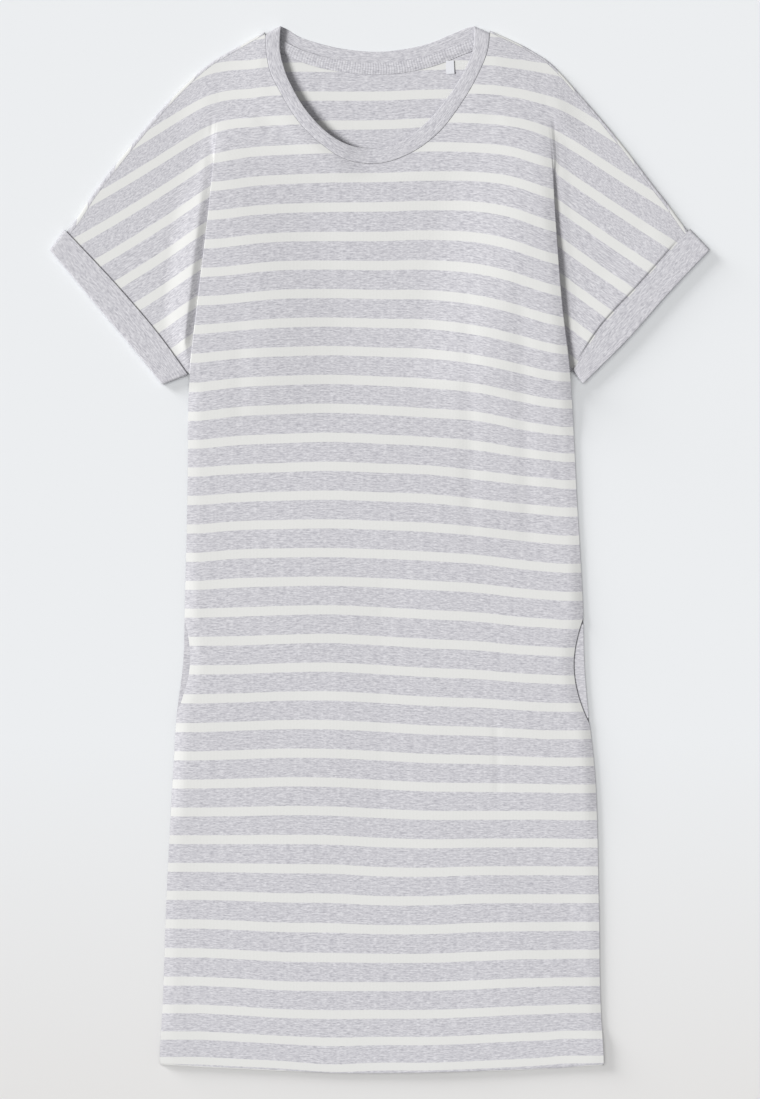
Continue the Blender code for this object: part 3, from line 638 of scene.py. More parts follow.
# Where the fold begins it is a plain step down from the body's edge: offset, front height, back height
STEP_KEYS = (
    (1.4, 7.8, 0.9),
    (2.8, 7.4, 1.3),
    (3.7, 6.9, 2.0),
    (4.6, 6.4, 2.8),
    (5.5, 5.9, 3.4),
    (6.8, 5.6, 3.7),
)
STEP_REACH = (9, 13)
STEP_START = (28, 30)
# The whole fold, in under the body and out again: offset, share of the fold's depth, front and back height.
# The first place is half way down from the body's edge.
FOLD_KEYS = (
    (-0.6, 0, HIDDEN, HIDDEN),
    (-1.0, -0.2, RETURN_FRONT, RETURN_BACK),
    (1.0, -1, RETURN_FRONT, RETURN_BACK),
    (-0.6, -1, (RETURN_FRONT + SLEEVE_FRONT) / 2, (RETURN_BACK + SLEEVE_BACK) / 2),
    (1.0, -1, SLEEVE_FRONT, SLEEVE_BACK),
    (0.0, -0.5, SLEEVE_FRONT, SLEEVE_BACK),
)
# The plain step turns into the whole fold from this y down: top, span
FOLD_TOPS = {-1: (438, 54), 1: (412, 60)}
# How far the fold reaches out from the body's edge, at most and at least, and what it leaves free at the cuff
FOLD_REACH = (8, -3, 4)
FOLD_START = 11
SLEEVE_SPREAD = (70, 26)
FOLD_PARTS = 4
SLEEVE_SHARES = 1 - np.linspace(1, 0, 65)[1:] ** 1.6
# Rises of the sleeve's front: height of a soft ridge beside the fold, and of a puff before the cuff
RISES = {-1: (6.0, 0.0), 1: (0.0, 1.7)}
# Over how many millimetres the ridge rises and falls, and grows downwards
RIDGE_REACH = (12, 50, 100)
# Over how many millimetres the puff rises and falls towards the cuff, and starts at the fold, and how fast it
# fades out at the fold's end and at the shoulder's
PUFF_REACH = (40, 2.6, 6)
PUFF_ENDS = (5, 6)


def cuff_length(side):
    """Length of a cuff's edge across the sleeve."""
    table = np.array(CUFFS[side])[:, :2]
    return np.hypot(*np.diff(table, axis=0).T).sum()


def cuff_point(side, along, depth):
    """Place on a cuff, seen from above: distance along it from its upper end, and share of its depth."""
    table = np.array(CUFFS[side])
    length = np.r_[0, np.cumsum(np.hypot(*np.diff(table[:, :2], axis=0).T))]
    row = curve(along, length, table)
    return mix(row[..., :2], row[..., 2:], np.asarray(depth)[..., None]) * (side, 1)


def sleeve_height(is_front, start, spread, from_fold, to_cuff, rises):
    """Height of a sleeve layer: eased from its height at the fold to level cloth, then to its height in the
    cuff, and raised by the ridge and the puff."""
    plain, cuff = (SLEEVE_PLAIN, CUFF_CEILING) if is_front else (BODY_BACK, CUFF_FLOOR)
    near_fold = smooth(1 - from_fold / spread)
    near_cuff = smooth(1 - to_cuff / CUFF_RUN_UP)
    height = mix(mix(plain, start, near_fold), cuff, near_cuff)
    ridge = np.sin(np.pi / 2 * np.clip(from_fold / RIDGE_REACH[0], 0, 1))
    ridge = ridge * smooth(1 - (from_fold - RIDGE_REACH[0]) / RIDGE_REACH[1])
    puff = smooth(1 - to_cuff / PUFF_REACH[0]) * smooth(to_cuff / PUFF_REACH[1])
    puff = puff * smooth(from_fold / PUFF_REACH[2])
    return height + rises[0] * ridge * (1 - near_cuff) + rises[1] * puff


def fold_keys(rows, reach, is_front):
    """Key points outwards from the body's edge: offsets and heights of the plain step and the whole fold."""
    step = np.array(STEP_KEYS)
    fold = np.array(FOLD_KEYS)
    depth = np.maximum(FOLD_START_Y - rows, 0) * FOLD_TANGENT
    step_offset = np.tile(np.r_[step[:, 0], STEP_REACH], (len(rows), 1))
    fold_offset = fold[:, 0] + fold[:, 1] * depth[:, None]
    fold_offset = np.column_stack([fold_offset, reach - FOLD_START, reach])
    layer_column = -2 if is_front else -1
    return step_offset, fold_offset, step[:, layer_column], fold[:, layer_column]


def sleeve_grid(edge, side, is_front):
    """Points of one sleeve, a row for each point of the body's edge: a cubic through the fold's keys, then a
    straight run to the cuff. Near the top the rows bend to follow the overarm seam."""
    rows = ROWS[ROWS >= UNDERARM_Y]
    share = (SHOULDER_Y - rows) / (SHOULDER_Y - UNDERARM_Y)
    gap = 0 if is_front else SEAM_LINE
    first = WALL + CUFF_SLACK + SEAM_INSET[1] - gap
    along = mix(first, cuff_length(side) - WALL / 2 - CUFF_RISE, share)
    cuff_mouth = cuff_point(side, along, np.full_like(along, SLEEVE_START))
    cuff_end = cuff_point(side, along, np.full_like(along, SLEEVE_END))

    to_mouth = np.hypot(*(cuff_mouth - edge[:, :2]).T)
    most, least, spare = FOLD_REACH
    reach = np.clip(to_mouth / 2 - spare, least, most)
    stepped = smooth((FOLD_START_Y + STEP_START[0] - rows) / STEP_START[1])[:, None]
    folded = folded_share(rows, *FOLD_TOPS[side])[:, None]
    step_offset, fold_offset, step_z, fold_z = fold_keys(rows, reach, is_front)
    offset = mix(step_offset, fold_offset, folded)
    slope = np.radians(np.interp(rows, [SHOULDER_Y - SLOPE_FADE, SHOULDER_Y], [0, SHOULDER_SLOPE]))[:, None]
    plan = np.stack([edge[:, :1] + side * offset * np.cos(slope), edge[:, 1:2] - offset * np.sin(slope)], -1)
    start = mix(edge[:, 2:3], SLEEVE_FRONT if is_front else SLEEVE_BACK, stepped)
    spread = mix(*SLEEVE_SPREAD, stepped)
    to_cuff = np.hypot(*(cuff_mouth - plan[:, -1]).T)[:, None]
    past = np.maximum(offset, 0)
    inside = (smooth(PUFF_ENDS[1] * share) * smooth(PUFF_ENDS[0] * (1 - share)))[:, None]
    grown = smooth((FOLD_START_Y - rows) / RIDGE_REACH[2])[:, None]
    rises = (RISES[side][0] * grown, RISES[side][1] * inside) if is_front else (0, 0)
    z = sleeve_height(is_front, start, spread, past, to_cuff + offset[:, -1:] - offset, rises)
    inner = len(step_z)
    fold_z = np.tile(fold_z, (len(rows), 1))
    fold_z[:, 0] = (edge[:, 2] + fold_z[:, 1]) / 2
    z[:, :inner] = mix(mix(z[:, :inner], step_z, stepped), fold_z, folded)
    keys = np.concatenate([edge[:, None, :3], np.concatenate([plan, z[..., None]], -1)], 1)
    last = keys.shape[1] - 1
    places = np.linspace(0, last, last * FOLD_PARTS + 1)[1:]
    fold = curve(places, np.arange(last + 1), keys.transpose(1, 0, 2)).transpose(1, 0, 2)

    shares = SLEEVE_SHARES[None, :, None]
    outward = mix(plan[:, -1:], cuff_mouth[:, None], shares)
    distance = np.hypot(*(cuff_mouth - plan[:, -1]).T)[:, None] * shares[..., 0]
    z = sleeve_height(is_front, start, spread, past[:, -1:] + distance, to_cuff - distance, rises)
    outward = np.concatenate([outward, z[..., None]], -1)
    end = np.column_stack([cuff_end, z[:, -1]])[:, None]

    grid = np.concatenate([fold, outward], 1)
    top = grid[-1]
    top_x = np.abs(top[:, 0])
    inset = seam_inset(top_x) - gap
    drop = outline_y(top_x, side) - inset * np.hypot(1, outline_slope(top_x, side)) - top[:, 1]
    drop = drop * smooth(np.abs(top[:, 0] - cuff_mouth[-1, 0]) / CUFF_RUN_UP)
    grid[..., 1] += drop * ((1 - share) ** 2)[:, None]
    grid = np.concatenate([grid, end], 1)

    x, y = grid[..., 0], grid[..., 1]
    in_fold = np.clip(np.arange(1, grid.shape[1] + 1) / FOLD_PARTS / last, 0, 1)
    hidden = mix(edge[:, 4:5], sleeve_stripe(x, y, side), smooth(2 * in_fold - 0.8))
    number = mix(open_stripe(x, y, side), hidden, folded_share(rows)[:, None])
    return np.concatenate([grid, np.zeros_like(x)[..., None], number[..., None]], -1)


def panel(is_front):
    """The front or the back with its sleeves as one grid, with nan where it has no cloth. Its five channels
    are x, y, z, the distance along the row from the middle, and the stripe number."""
    body = body_grid(is_front)
    upper = ROWS >= UNDERARM_Y
    sleeves = []
    for side, edge in ((-1, body[upper, 0]), (1, body[upper, -1])):
        points = sleeve_grid(edge, side, is_front)
        whole = np.full((len(ROWS),) + points.shape[1:], np.nan)
        whole[upper] = points
        sleeves.append(whole)
    grid = np.concatenate([sleeves[0][:, ::-1], body, sleeves[1]], 1)
    step = np.nan_to_num(np.linalg.norm(np.diff(grid[..., :3], axis=1), axis=2))
    along = np.cumsum(np.pad(step, ((0, 0), (1, 0))), 1)
    grid[..., 3] = along - along[:, [grid.shape[1] // 2]]
    return grid, sleeves[0].shape[1]


# %% [markdown]
# ## Hem and shoulder seams
#
# The hem is turned up inside and sewn: the grid gets more rows that go round a half circle and back up. Along
# the shoulders and sleeves the back's edge comes over to the front, where the seam lies a few millimetres
# inside the outline. There the grid goes round the outline in the same way, and the stripes go with it.

# %% Hem and roll
HEM_ANGLES = np.linspace(0, np.pi, 8)
ROLL_ANGLES = np.linspace(0, np.pi, 10)[1:]
# On top the roll is level from here to the seam, and ends with a crisp edge: shares of its reach
ROLL_LEVEL = 0.45
ROLL_END = np.array((0.05, 0))
# The hem starts at this column from the body's side edge
HEM_COLUMN = 2


def with_hem(grid, first, last, turn_up):
    """The grid with its hem turned up inside: a half circle of the layers' pitch, then a straight strip."""
    edge = grid[0].copy()
    grid[0, first:last, 1] += WALL / 2 + PITCH / 2
    rise = WALL / 2 + PITCH / 2 * (1 - np.sin(HEM_ANGLES[1:]))
    height = (1 - np.cos(HEM_ANGLES[1:])) / 2
    rise = np.r_[rise, WALL / 2 + HEM_TURN / 2, WALL / 2 + HEM_TURN][::-1]
    height = np.r_[height, 1, 1][::-1]
    turned = np.repeat(edge[None], len(rise), axis=0)
    turned[..., 1] += rise[:, None]
    turned[..., 2] += turn_up * PITCH * height[:, None]
    turned[..., 4] += rise[:, None] / STRIPE_PITCH
    turned[:, :first] = np.nan
    turned[:, last:] = np.nan
    return np.concatenate([turned, grid])


def with_shoulder_roll(grid, front_top, keep):
    """The back's grid with its upper edge brought round the outline, level at last, to the front's seam."""
    top = grid[-1]
    along = np.gradient(top[:, :2], axis=0)
    turn = smooth((np.abs(top[:, 0]) - NECK_TURN[0]) / NECK_TURN[1])
    across = np.stack([-along[:, 1] * turn, along[:, 0]], 1)
    across /= np.linalg.norm(across, axis=1)[:, None]
    reach = (seam_inset(np.abs(top[:, 0])) - SEAM_LINE - WALL / 2)[:, None]
    out = mix(np.where(ROLL_ANGLES > np.pi / 2, ROLL_LEVEL, 0), 1, np.sin(ROLL_ANGLES))
    unrolled = np.r_[np.where(ROLL_ANGLES > np.pi / 2, 2 - out, out), 2 - ROLL_END]
    out = np.r_[out, ROLL_END]
    up = np.r_[(1 - np.cos(ROLL_ANGLES)) / 2, 1, 1]
    rolls = np.repeat(top[None], len(out), axis=0)
    rolls[..., :2] += across * reach * out[:, None, None]
    rolls[..., 2] = mix(top[:, 2], front_top, up[:, None])
    flat = top[:, :2] + across * reach * unrolled[:, None, None]
    number = [open_stripe(flat[..., 0], flat[..., 1] + BACK_DROP, side) for side in (-1, 1)]
    rolls[..., 4] = np.where(flat[..., 0] < 0, number[0], number[1])
    rolls[:, ~keep] = np.nan
    return np.concatenate([grid, rolls])


front_grid, sleeve_columns = panel(True)
back_grid, sleeve_columns = panel(False)
back_grid[..., 4] -= BACK_DROP / STRIPE_PITCH
neck_corner = sleeve_columns + len(INSETS) + SHOULDER_STEPS
front_seam = front_grid[-1, neck_corner:-neck_corner, :3]
back_seam = back_grid[-1, neck_corner:-neck_corner, :3]
rolled = np.ones(front_grid.shape[1], bool)
rolled[neck_corner + 1 : -neck_corner - 1] = False
back_grid = with_shoulder_roll(back_grid, front_grid[-1, :, 2], rolled)
first_hem = sleeve_columns + HEM_COLUMN
last_hem = front_grid.shape[1] - first_hem
front_grid = with_hem(front_grid, first_hem, last_hem, -1)
back_grid = with_hem(back_grid, first_hem, last_hem, 1)
print("grids of front and back:", front_grid.shape, back_grid.shape)

# %% [markdown]
# ## Nodes and colours
#
# Every finish is built from shader nodes. One small function adds a node, and another turns a screen colour
# written as hex into the linear light that Blender works in.


# %% Node and colour helpers
def linear(code, alpha=1.0):
    """A hex screen colour as linear light: ((c + 0.055) / 1.055)^2.4, or c / 12.92 where it is dark."""
    screen = np.array([int(code[i : i + 2], 16) for i in (1, 3, 5)]) / 255
    light = np.where(screen <= 0.04045, screen / 12.92, ((screen + 0.055) / 1.055) ** 2.4)
    return (*light.tolist(), alpha)


def add(tree, kind, inputs=None, **settings):
    """Adds one node. Settings are its own properties, and inputs gives each socket a value or a link."""
    made = tree.nodes.new("ShaderNode" + kind)
    for name, value in settings.items():
        setattr(made, name, value)
    for socket, value in (inputs or {}).items():
        if isinstance(value, bpy.types.NodeSocket):
            tree.links.new(value, made.inputs[socket])
        else:
            made.inputs[socket].default_value = value
    return made


def new_finish(name, roughness, sheen):
    """A material with only its shader, and the roughness and sheen of the cloth set on it."""
    made = bpy.data.materials.new(name)
    made.use_nodes = True
    shader = made.node_tree.nodes["Principled BSDF"]
    shader.inputs["Roughness"].default_value = roughness
    shader.inputs["Specular IOR Level"].default_value = 0.2
    shader.inputs["Sheen Weight"].default_value = sheen
    shader.inputs["Sheen Roughness"].default_value = 0.6
    return made, made.node_tree, shader


# %% [markdown]
# ## Melange cotton jersey
#
# The grey is melange: white and dark fibres were mixed before spinning, so the yarn changes tone every
# centimetre or so, and the rows of the knit show it as short streaks along the stripes. Two stretched noises
# draw the streaks, 9 mm and 3.5 mm long and about one knit row high. Jersey is matt, with a faint bloom of
# loose fibres at grazing angles, which is sheen. Its stitches are 0.7 mm wide, too fine to show here, so the
# bump is drawn twice as coarse.

# %% Melange and stripes
STREAK = (9.0, 1.5)
FINE_STREAK = (3.5, 0.9)
STITCH = 1.5
MELANGE_DARK = linear("#b4b3ba")
MELANGE_LIGHT = linear("#e2e1e5")
STRIPE_WHITE = linear("#e4e4e2")
STRIPE_SHADE = linear("#dededc")
STRIPE_HALF = 4.85


def streaks(tree, place, size, detail):
    """Noise stretched to streaks of this length and height in millimetres, as a number from 0 to 1."""
    scale = (1 / (size[0] * MM), 1 / (size[1] * MM), 1)
    laid = add(tree, "Mapping", {"Vector": place, "Scale": scale})
    return add(tree, "TexNoise", {"Vector": laid.outputs[0], "Scale": 1.0, "Detail": detail}).outputs["Fac"]


def melange(tree, place):
    """Melange grey: two sizes of streak added up, and turned into a tone between the dark and the light."""
    coarse = streaks(tree, place, STREAK, 2.0)
    fine = streaks(tree, place, FINE_STREAK, 1.0)
    both = add(tree, "Math", {0: coarse, 1: fine}, operation="ADD").outputs[0]
    tone = add(tree, "MapRange", {"Value": both, "From Min": 0.7, "From Max": 1.3}).outputs[0]
    colour = add(tree, "Mix", {"Factor": tone, "A": MELANGE_DARK, "B": MELANGE_LIGHT}, data_type="RGBA")
    return colour.outputs["Result"], both


def knit_bump(tree, place, tone, strength):
    """The knit's relief: rows and columns of stitches as two sine waves, broken up by the streaks."""
    size = 2 * np.pi / (STITCH * MM)
    laid = add(tree, "Mapping", {"Vector": place, "Scale": (size, size, 1)})
    parts = add(tree, "SeparateXYZ", {0: laid.outputs[0]})
    waves = [add(tree, "Math", {0: parts.outputs[i]}, operation="SINE").outputs[0] for i in (0, 1)]
    relief = add(tree, "Math", {0: waves[0], 1: waves[1]}, operation="ADD").outputs[0]
    relief = add(tree, "Math", {0: relief, 1: 0.15, 2: tone}, operation="MULTIPLY_ADD").outputs[0]
    bump = add(tree, "Bump", {"Strength": strength, "Distance": 0.3 * MM, "Height": relief})
    return bump.outputs[0]


# %% Plain melange jersey
plain_jersey, tree, shader = new_finish("melange cotton jersey", 0.92, 0.12)
cloth_place = add(tree, "UVMap", uv_map="Cloth").outputs[0]
colour, tone = melange(tree, cloth_place)
tree.links.new(colour, shader.inputs["Base Color"])
tree.links.new(knit_bump(tree, cloth_place, tone, 0.35), shader.inputs["Normal"])

# %% [markdown]
# ## Striped jersey
#
# The stripes are rows of white yarn, about 10 mm of every 30 mm. The distance to the nearest stripe's middle
# is a ping-pong of the cloth's v. The border between two yarns follows the stitches, so it is uneven by
# a fraction of a millimetre, and white yarn has only a trace of tone.

# %% Striped jersey
striped_jersey, tree, shader = new_finish("striped cotton jersey", 0.92, 0.12)
cloth_place = add(tree, "UVMap", uv_map="Cloth").outputs[0]
grey, tone = melange(tree, cloth_place)
down = add(tree, "SeparateXYZ", {0: cloth_place}).outputs["Y"]
from_stripe = add(tree, "Math", {0: down, 1: STRIPE_PITCH / 2 * MM}, operation="PINGPONG").outputs[0]
ragged = streaks(tree, cloth_place, (2.2, 2.2), 2.0)
from_stripe = add(tree, "Math", {0: ragged, 1: 0.9 * MM, 2: from_stripe}, operation="MULTIPLY_ADD").outputs[0]
white_share = add(
    tree,
    "MapRange",
    {"Value": from_stripe, "From Min": (STRIPE_HALF + 0.75) * MM, "From Max": (STRIPE_HALF + 0.15) * MM},
    interpolation_type="SMOOTHSTEP",
).outputs[0]
white = add(tree, "Mix", {"Factor": tone, "A": STRIPE_SHADE, "B": STRIPE_WHITE}, data_type="RGBA")
white = white.outputs["Result"]
colour = add(tree, "Mix", {"Factor": white_share, "A": grey, "B": white}, data_type="RGBA")
tree.links.new(colour.outputs["Result"], shader.inputs["Base Color"])
tree.links.new(knit_bump(tree, cloth_place, tone, 0.35), shader.inputs["Normal"])

# %% [markdown]
# ## Label tape
#
# The small label is a blank white woven polyester tape: smoother and a little brighter than the jersey, with
# a fine rib across.

# %% Label tape
label_tape, tree, shader = new_finish("woven polyester tape", 0.6, 0.05)
shader.inputs["Base Color"].default_value = linear("#e6e7ec")
cloth_place = add(tree, "UVMap", uv_map="Cloth").outputs[0]
rib = add(tree, "SeparateXYZ", {0: cloth_place}).outputs["Y"]
rib = add(tree, "Math", {0: rib, 1: 2 * np.pi / (1.2 * MM)}, operation="MULTIPLY").outputs[0]
rib = add(tree, "Math", {0: rib}, operation="SINE").outputs[0]
bump = add(tree, "Bump", {"Strength": 0.3, "Distance": 0.1 * MM, "Height": rib})
tree.links.new(bump.outputs[0], shader.inputs["Normal"])

# %% [markdown]
# ## Edges painted dark as shade
#
# The faces of each cut edge are painted dark. This is painted shade: it stands in for the thin shadows in the
# gaps at the cuffs' turned-up edges and at the pocket mouths, and it keeps the lit edges from brightening the
# floor beside them. Solidify gives this finish, the second one of each piece, to the faces of the edge.

# %% Edges painted dark as shade
edge_painted_shade, tree, shader = new_finish("jersey edge painted as shade", 1.0, 0.0)
# Painted shade: a dark grey for the faces of every cut edge
shader.inputs["Base Color"].default_value = linear("#6f6e74")

# %% [markdown]
# ## From a grid to a piece of cloth
#
# Each grid becomes one mesh. The fourth and fifth channels become the UV map: the way along the knit's rows
# and the way across them, both as real lengths. Solidify then gives the sheet its wall, half to each side.


# %% Cloth maker
def cloth(name, grid, finish, wall=SHOWN_WALL, ring=False, tube=False):
    """A walled sheet round a grid of points, without its nan points. A ring's last column is its first, and a
    tube's last row is its first."""
    rows, columns = grid.shape[:2]
    points = grid.reshape(-1, 5)
    index = np.arange(rows * columns).reshape(rows, columns)
    joined = index.copy()
    if tube:
        joined[-1] = joined[0]
    if ring:
        joined[:, -1] = joined[:, 0]
    quads = [np.stack([a[:-1, :-1], a[:-1, 1:], a[1:, 1:], a[1:, :-1]], -1) for a in (index, joined)]
    quads = [faces.reshape(-1, 4) for faces in quads]
    whole = ~np.isnan(points[quads[0], 0]).any(1)
    kept, corners = np.unique(quads[1][whole], return_inverse=True)
    mesh = bpy.data.meshes.new(name)
    mesh.from_pydata((points[kept, :3] * MM).tolist(), [], corners.reshape(-1, 4).tolist())
    mesh.shade_smooth()
    uv = points[quads[0][whole].ravel(), 3:] * MM
    mesh.uv_layers.new(name="Cloth").data.foreach_set("uv", uv.ravel())
    mesh.materials.append(finish)
    obj = bpy.data.objects.new(name, mesh)
    bpy.context.scene.collection.objects.link(obj)
    if wall:
        # The faces of the wall's rim get the dark edge finish, which is painted shade
        mesh.materials.append(edge_painted_shade)
        solid = obj.modifiers.new("Cloth wall", "SOLIDIFY")
        solid.thickness = wall * MM
        solid.offset = 0
        solid.material_offset_rim = 1
    print(name, "has", len(corners) // 4, "faces")
    return obj


def with_lengths(points, along, across):
    """A grid of places with its two lengths, along and across the knit's rows, added as channels."""
    along = np.broadcast_to(along, points.shape[:2])
    across = np.broadcast_to(across, points.shape[:2])
    return np.concatenate([points, np.stack([along, across], -1)], -1)


front_grid[..., 4] *= STRIPE_PITCH
back_grid[..., 4] *= STRIPE_PITCH
front = cloth("front_cloth", front_grid, striped_jersey)
back = cloth("back_cloth", back_grid, striped_jersey)

# %% [markdown]
# ## The neckband
#
# A strip of the plain jersey is folded double and sewn round the neck, so its free edge is a soft fold. It is
# one closed ring: a flat rounded profile carried along the two necklines and round over the shoulders.

# %% Neckband
BAND_WALL = 1.6
BAND_ROUND = 4.0
BAND_GAP = 0.22
BAND_END_GAP = 1.1
BAND_STATIONS = 150
BAND_END_PARTS = 8
BAND_AROUND = 28
# Its profile: how square it is, and how much of its wall is left where it is pressed flat
BAND_SQUARENESS = 0.4
BAND_PRESSED = 0.95


def neck_ring():
    """Stations of the band round the neck: seam x, y, free edge x, y, middle height, gap to the seam."""
    halves = []
    for is_front, seam, other_seam in ((True, front_seam, back_seam), (False, back_seam, front_seam)):
        count = len(seam) - 1
        free = neck_line(is_front, np.linspace(0, 1, count + 1))[:, 2:]
        spacing = np.hypot(*(seam[1] - seam[0])[:2])
        near = (1 - np.cos(np.linspace(0, np.pi / 2, BAND_END_PARTS))) * BAND_ROUND / spacing
        place = np.r_[near, np.linspace(near[-1], count - near[-1], BAND_STATIONS)[1:-1], count - near[::-1]]
        row = np.column_stack([seam[:, :2], free, seam[:, 2]])
        row = np.column_stack([np.interp(place, np.arange(count + 1), line) for line in row.T])
        near_end = np.minimum(place, count - place) * spacing / BAND_ROUND
        arch = np.sqrt(1 - (1 - np.clip(near_end, 0, 1)) ** 2)
        other = other_seam[np.where(place < count / 2, 0, -1), 2]
        row[:, 4] = mix((row[:, 4] + other) / 2, row[:, 4], arch) + (BAND_WALL - WALL) / 2
        halves.append(np.column_stack([row, mix(BAND_END_GAP, BAND_GAP, arch)]))
    return np.concatenate([halves[0], halves[1][-2:0:-1], halves[0][:1]])


def band_points(stations, around):
    """The profile at each station: across (1 − cos a) / 2 of the width, up half the wall · |sin a|^0.4."""
    angle = np.linspace(0, 2 * np.pi, around + 1)[:, None]
    width = np.hypot(*(stations[:, 2:4] - stations[:, :2]).T)
    share = mix(stations[:, 5] / width, 1, (1 - np.cos(angle)) / 2)
    plan = mix(stations[:, :2], stations[:, 2:4], share[..., None])
    rise = np.sign(np.sin(angle)) * np.abs(np.sin(angle)) ** BAND_SQUARENESS * BAND_WALL / 2 * BAND_PRESSED
    along = np.r_[0, np.cumsum(np.hypot(*np.diff(stations[:, :2], axis=0).T))]
    points = np.concatenate([plan, (stations[:, 4] + rise)[..., None]], -1)
    return with_lengths(points, along, share * width)


stations = neck_ring()
band_grid = band_points(stations, BAND_AROUND)
neckband = cloth("neckband_cloth", band_grid, plain_jersey, wall=0, ring=True, tube=True)
print("the band is", round(float(band_grid[0, -1, 3])), "mm round")

# %% [markdown]
# ## Neck tape and label
#
# Inside the back neck a narrow strip of jersey covers the seam. Its elastic thread has drawn it into tiny
# gathers, about 2.5 mm apart: a sine wave in its height. A small blank label hangs from it.

# %% Tape and label
TAPE_WIDTH = 12
TAPE_ENDS = (-107, 101)
TAPE_LEVELS = (2.75, 1.6)
TAPE_WALL = 0.5
TAPE_PARTS = np.r_[1, 0.975, np.linspace(0.85, -0.85, 11), -0.975, -1]
GATHERS = 76
GATHER_PARTS = 8
GATHER_HEIGHT = 0.1
# The gathers lean to and fro: by how much, and how often along the tape
GATHER_LEAN = (0.6, 9)
LABEL_PLACE = (73.6, 506)
LABEL_SIZE = (8.5, 14)
LABEL_LEAN = 0.05
LABEL_LEVEL = 2.0
LABEL_LIFT = 0.35
LABEL_WALL = 0.6
LABEL_PARTS = np.r_[-1, -0.97, np.linspace(-0.85, 0.85, 9), 0.97, 1] / 2


def tape_points():
    """Across the back neck's seam from +width/2 to −width/2, up by a sine with one turn for each gather."""
    table = np.array(BACK_NECK)
    x = np.linspace(TAPE_ENDS[0], TAPE_ENDS[1], GATHER_PARTS * GATHERS + 1)
    seam = np.stack([x, curve(x, table[:, 0], table[:, 1])], 1)
    along = np.gradient(seam, axis=0)
    across = np.stack([-along[:, 1], along[:, 0]], 1) / np.hypot(*along.T)[:, None]
    reach = TAPE_WIDTH / 2 * TAPE_PARTS[:, None]
    level = mix(TAPE_LEVELS[0], TAPE_LEVELS[1], smooth((-1 - reach) / (TAPE_WIDTH / 2 - 1)))
    share = np.linspace(0, 1, len(x))
    lean = GATHER_LEAN[0] * np.sin(reach / 2 + GATHER_LEAN[1] * share)
    gather = GATHER_HEIGHT * np.sin(2 * np.pi * GATHERS * share + lean)
    place = seam + across * reach[..., None]
    points = np.concatenate([place, (level + gather)[..., None]], -1)
    return with_lengths(points, x, reach)


def label_points():
    """A small rectangle, leaning a little, with its free end lifted by a third of a millimetre."""
    across, down = np.meshgrid(LABEL_PARTS * LABEL_SIZE[0], -LABEL_PARTS * LABEL_SIZE[1])
    x = LABEL_PLACE[0] + across - LABEL_LEAN * down
    y = LABEL_PLACE[1] + down + LABEL_LEAN * across
    z = LABEL_LEVEL + LABEL_LIFT * smooth(-down / LABEL_SIZE[1] * 2)
    return with_lengths(np.stack([x, y, z], -1), across, down)


tape = cloth("neck_tape_cloth", tape_points(), plain_jersey, wall=TAPE_WALL)
label = cloth("label_cloth", label_points(), label_tape, wall=LABEL_WALL)

# %% [markdown]
# ## Pockets
#
# Each pocket is a bag of plain jersey between front and back. Only a sliver of it shows, where the front's
# edge curves inwards at the mouth, but the whole bag is there and keeps the front lying a little higher.

# %% Pocket bags
POCKET_ENDS = (-50, -262)
POCKET_REACH = 132
POCKET_TAPER = 0.35
POCKET_MARGIN = 6.5
# The upper layer starts this far inside the front's edge
POCKET_UNDER = 10
POCKET_PARTS = 61
# Places round the bag, from the side edge inwards, round the inner end and back: share of its reach, height
POCKET_PROFILE = (
    (0, 1),
    (0.12, 1),
    (0.5, 1),
    (0.97, 1),
    (0.994, 1.15),
    (1.0, 1.5),
    (0.994, 1.85),
    (0.97, 2),
    (0.5, 2),
    (0.12, 2),
    (0, 2),
)


def pocket_points(side, upper, lower):
    """The bag as one sheet, doubled over at its inner end: places between the side edge and the inner end."""
    share = np.linspace(0, 1, POCKET_PARTS)[:, None]
    outer_y = mix(upper - POCKET_MARGIN, lower + POCKET_MARGIN, share)
    inner_y = mix(POCKET_ENDS[0], POCKET_ENDS[1], share)
    reach = POCKET_REACH * (1 - POCKET_TAPER * (2 * share - 1) ** 4)
    outer_x = edge_x(outer_y, side) - WALL / 2
    hidden_x = edge_x(outer_y, side) - mouth(outer_y, side) - POCKET_UNDER
    last = len(POCKET_PROFILE) - 1
    places = np.r_[0, 0.01, np.linspace(0, last, POCKET_PARTS)[1:-1], last - 0.01, last]
    profile = np.array(POCKET_PROFILE).T
    inwards, height = (np.interp(places, np.arange(last + 1), line) for line in profile)
    start = np.where(places > last / 2, hidden_x, outer_x)
    x = mix(start, outer_x - reach, inwards)
    y = mix(outer_y, inner_y, inwards)
    z = BODY_BACK + PITCH * np.broadcast_to(height, x.shape)
    return with_lengths(np.stack([side * x, y, z], -1), x, y)


pockets = {
    name: cloth("pocket_%s_cloth" % name, pocket_points(side, upper, lower), plain_jersey)
    for name, side, upper, lower, _ in POCKETS
}

# %% [markdown]
# ## Cuffs
#
# A cuff is a doubled band of plain jersey, sewn to the sleeve's end and turned up over it. Laid flat it is
# a flattened loop: its profile starts at the free edge, goes down to the fold at the outer end, and turns
# in a small half circle to the inside, where the sleeve is sewn.

# %% Cuff loops
CUFF_DEPTH = 28
CUFF_MIDDLE = 3.2
CUFF_TURN = 0.875
CUFF_TURNED_IN = 5
CUFF_PARTS = 110
CUFF_FACE_PARTS = 16
CUFF_ROUND_PARTS = 10


def cuff_profile():
    """Distance from the free edge and inset from the outer face: straight, a half circle, straight back."""
    angle = np.linspace(0, np.pi, CUFF_ROUND_PARTS)
    middle = CUFF_DEPTH - WALL / 2 - CUFF_TURN
    straight = np.r_[0, CRISP, np.linspace(0, middle, CUFF_FACE_PARTS)[1:-1]]
    depth = np.r_[straight, middle + CUFF_TURN * np.sin(angle), middle - WALL, CUFF_DEPTH - CUFF_TURNED_IN]
    inset = np.r_[0 * straight, CUFF_TURN * (1 - np.cos(angle)), 2 * CUFF_TURN, 2 * CUFF_TURN]
    return depth, inset


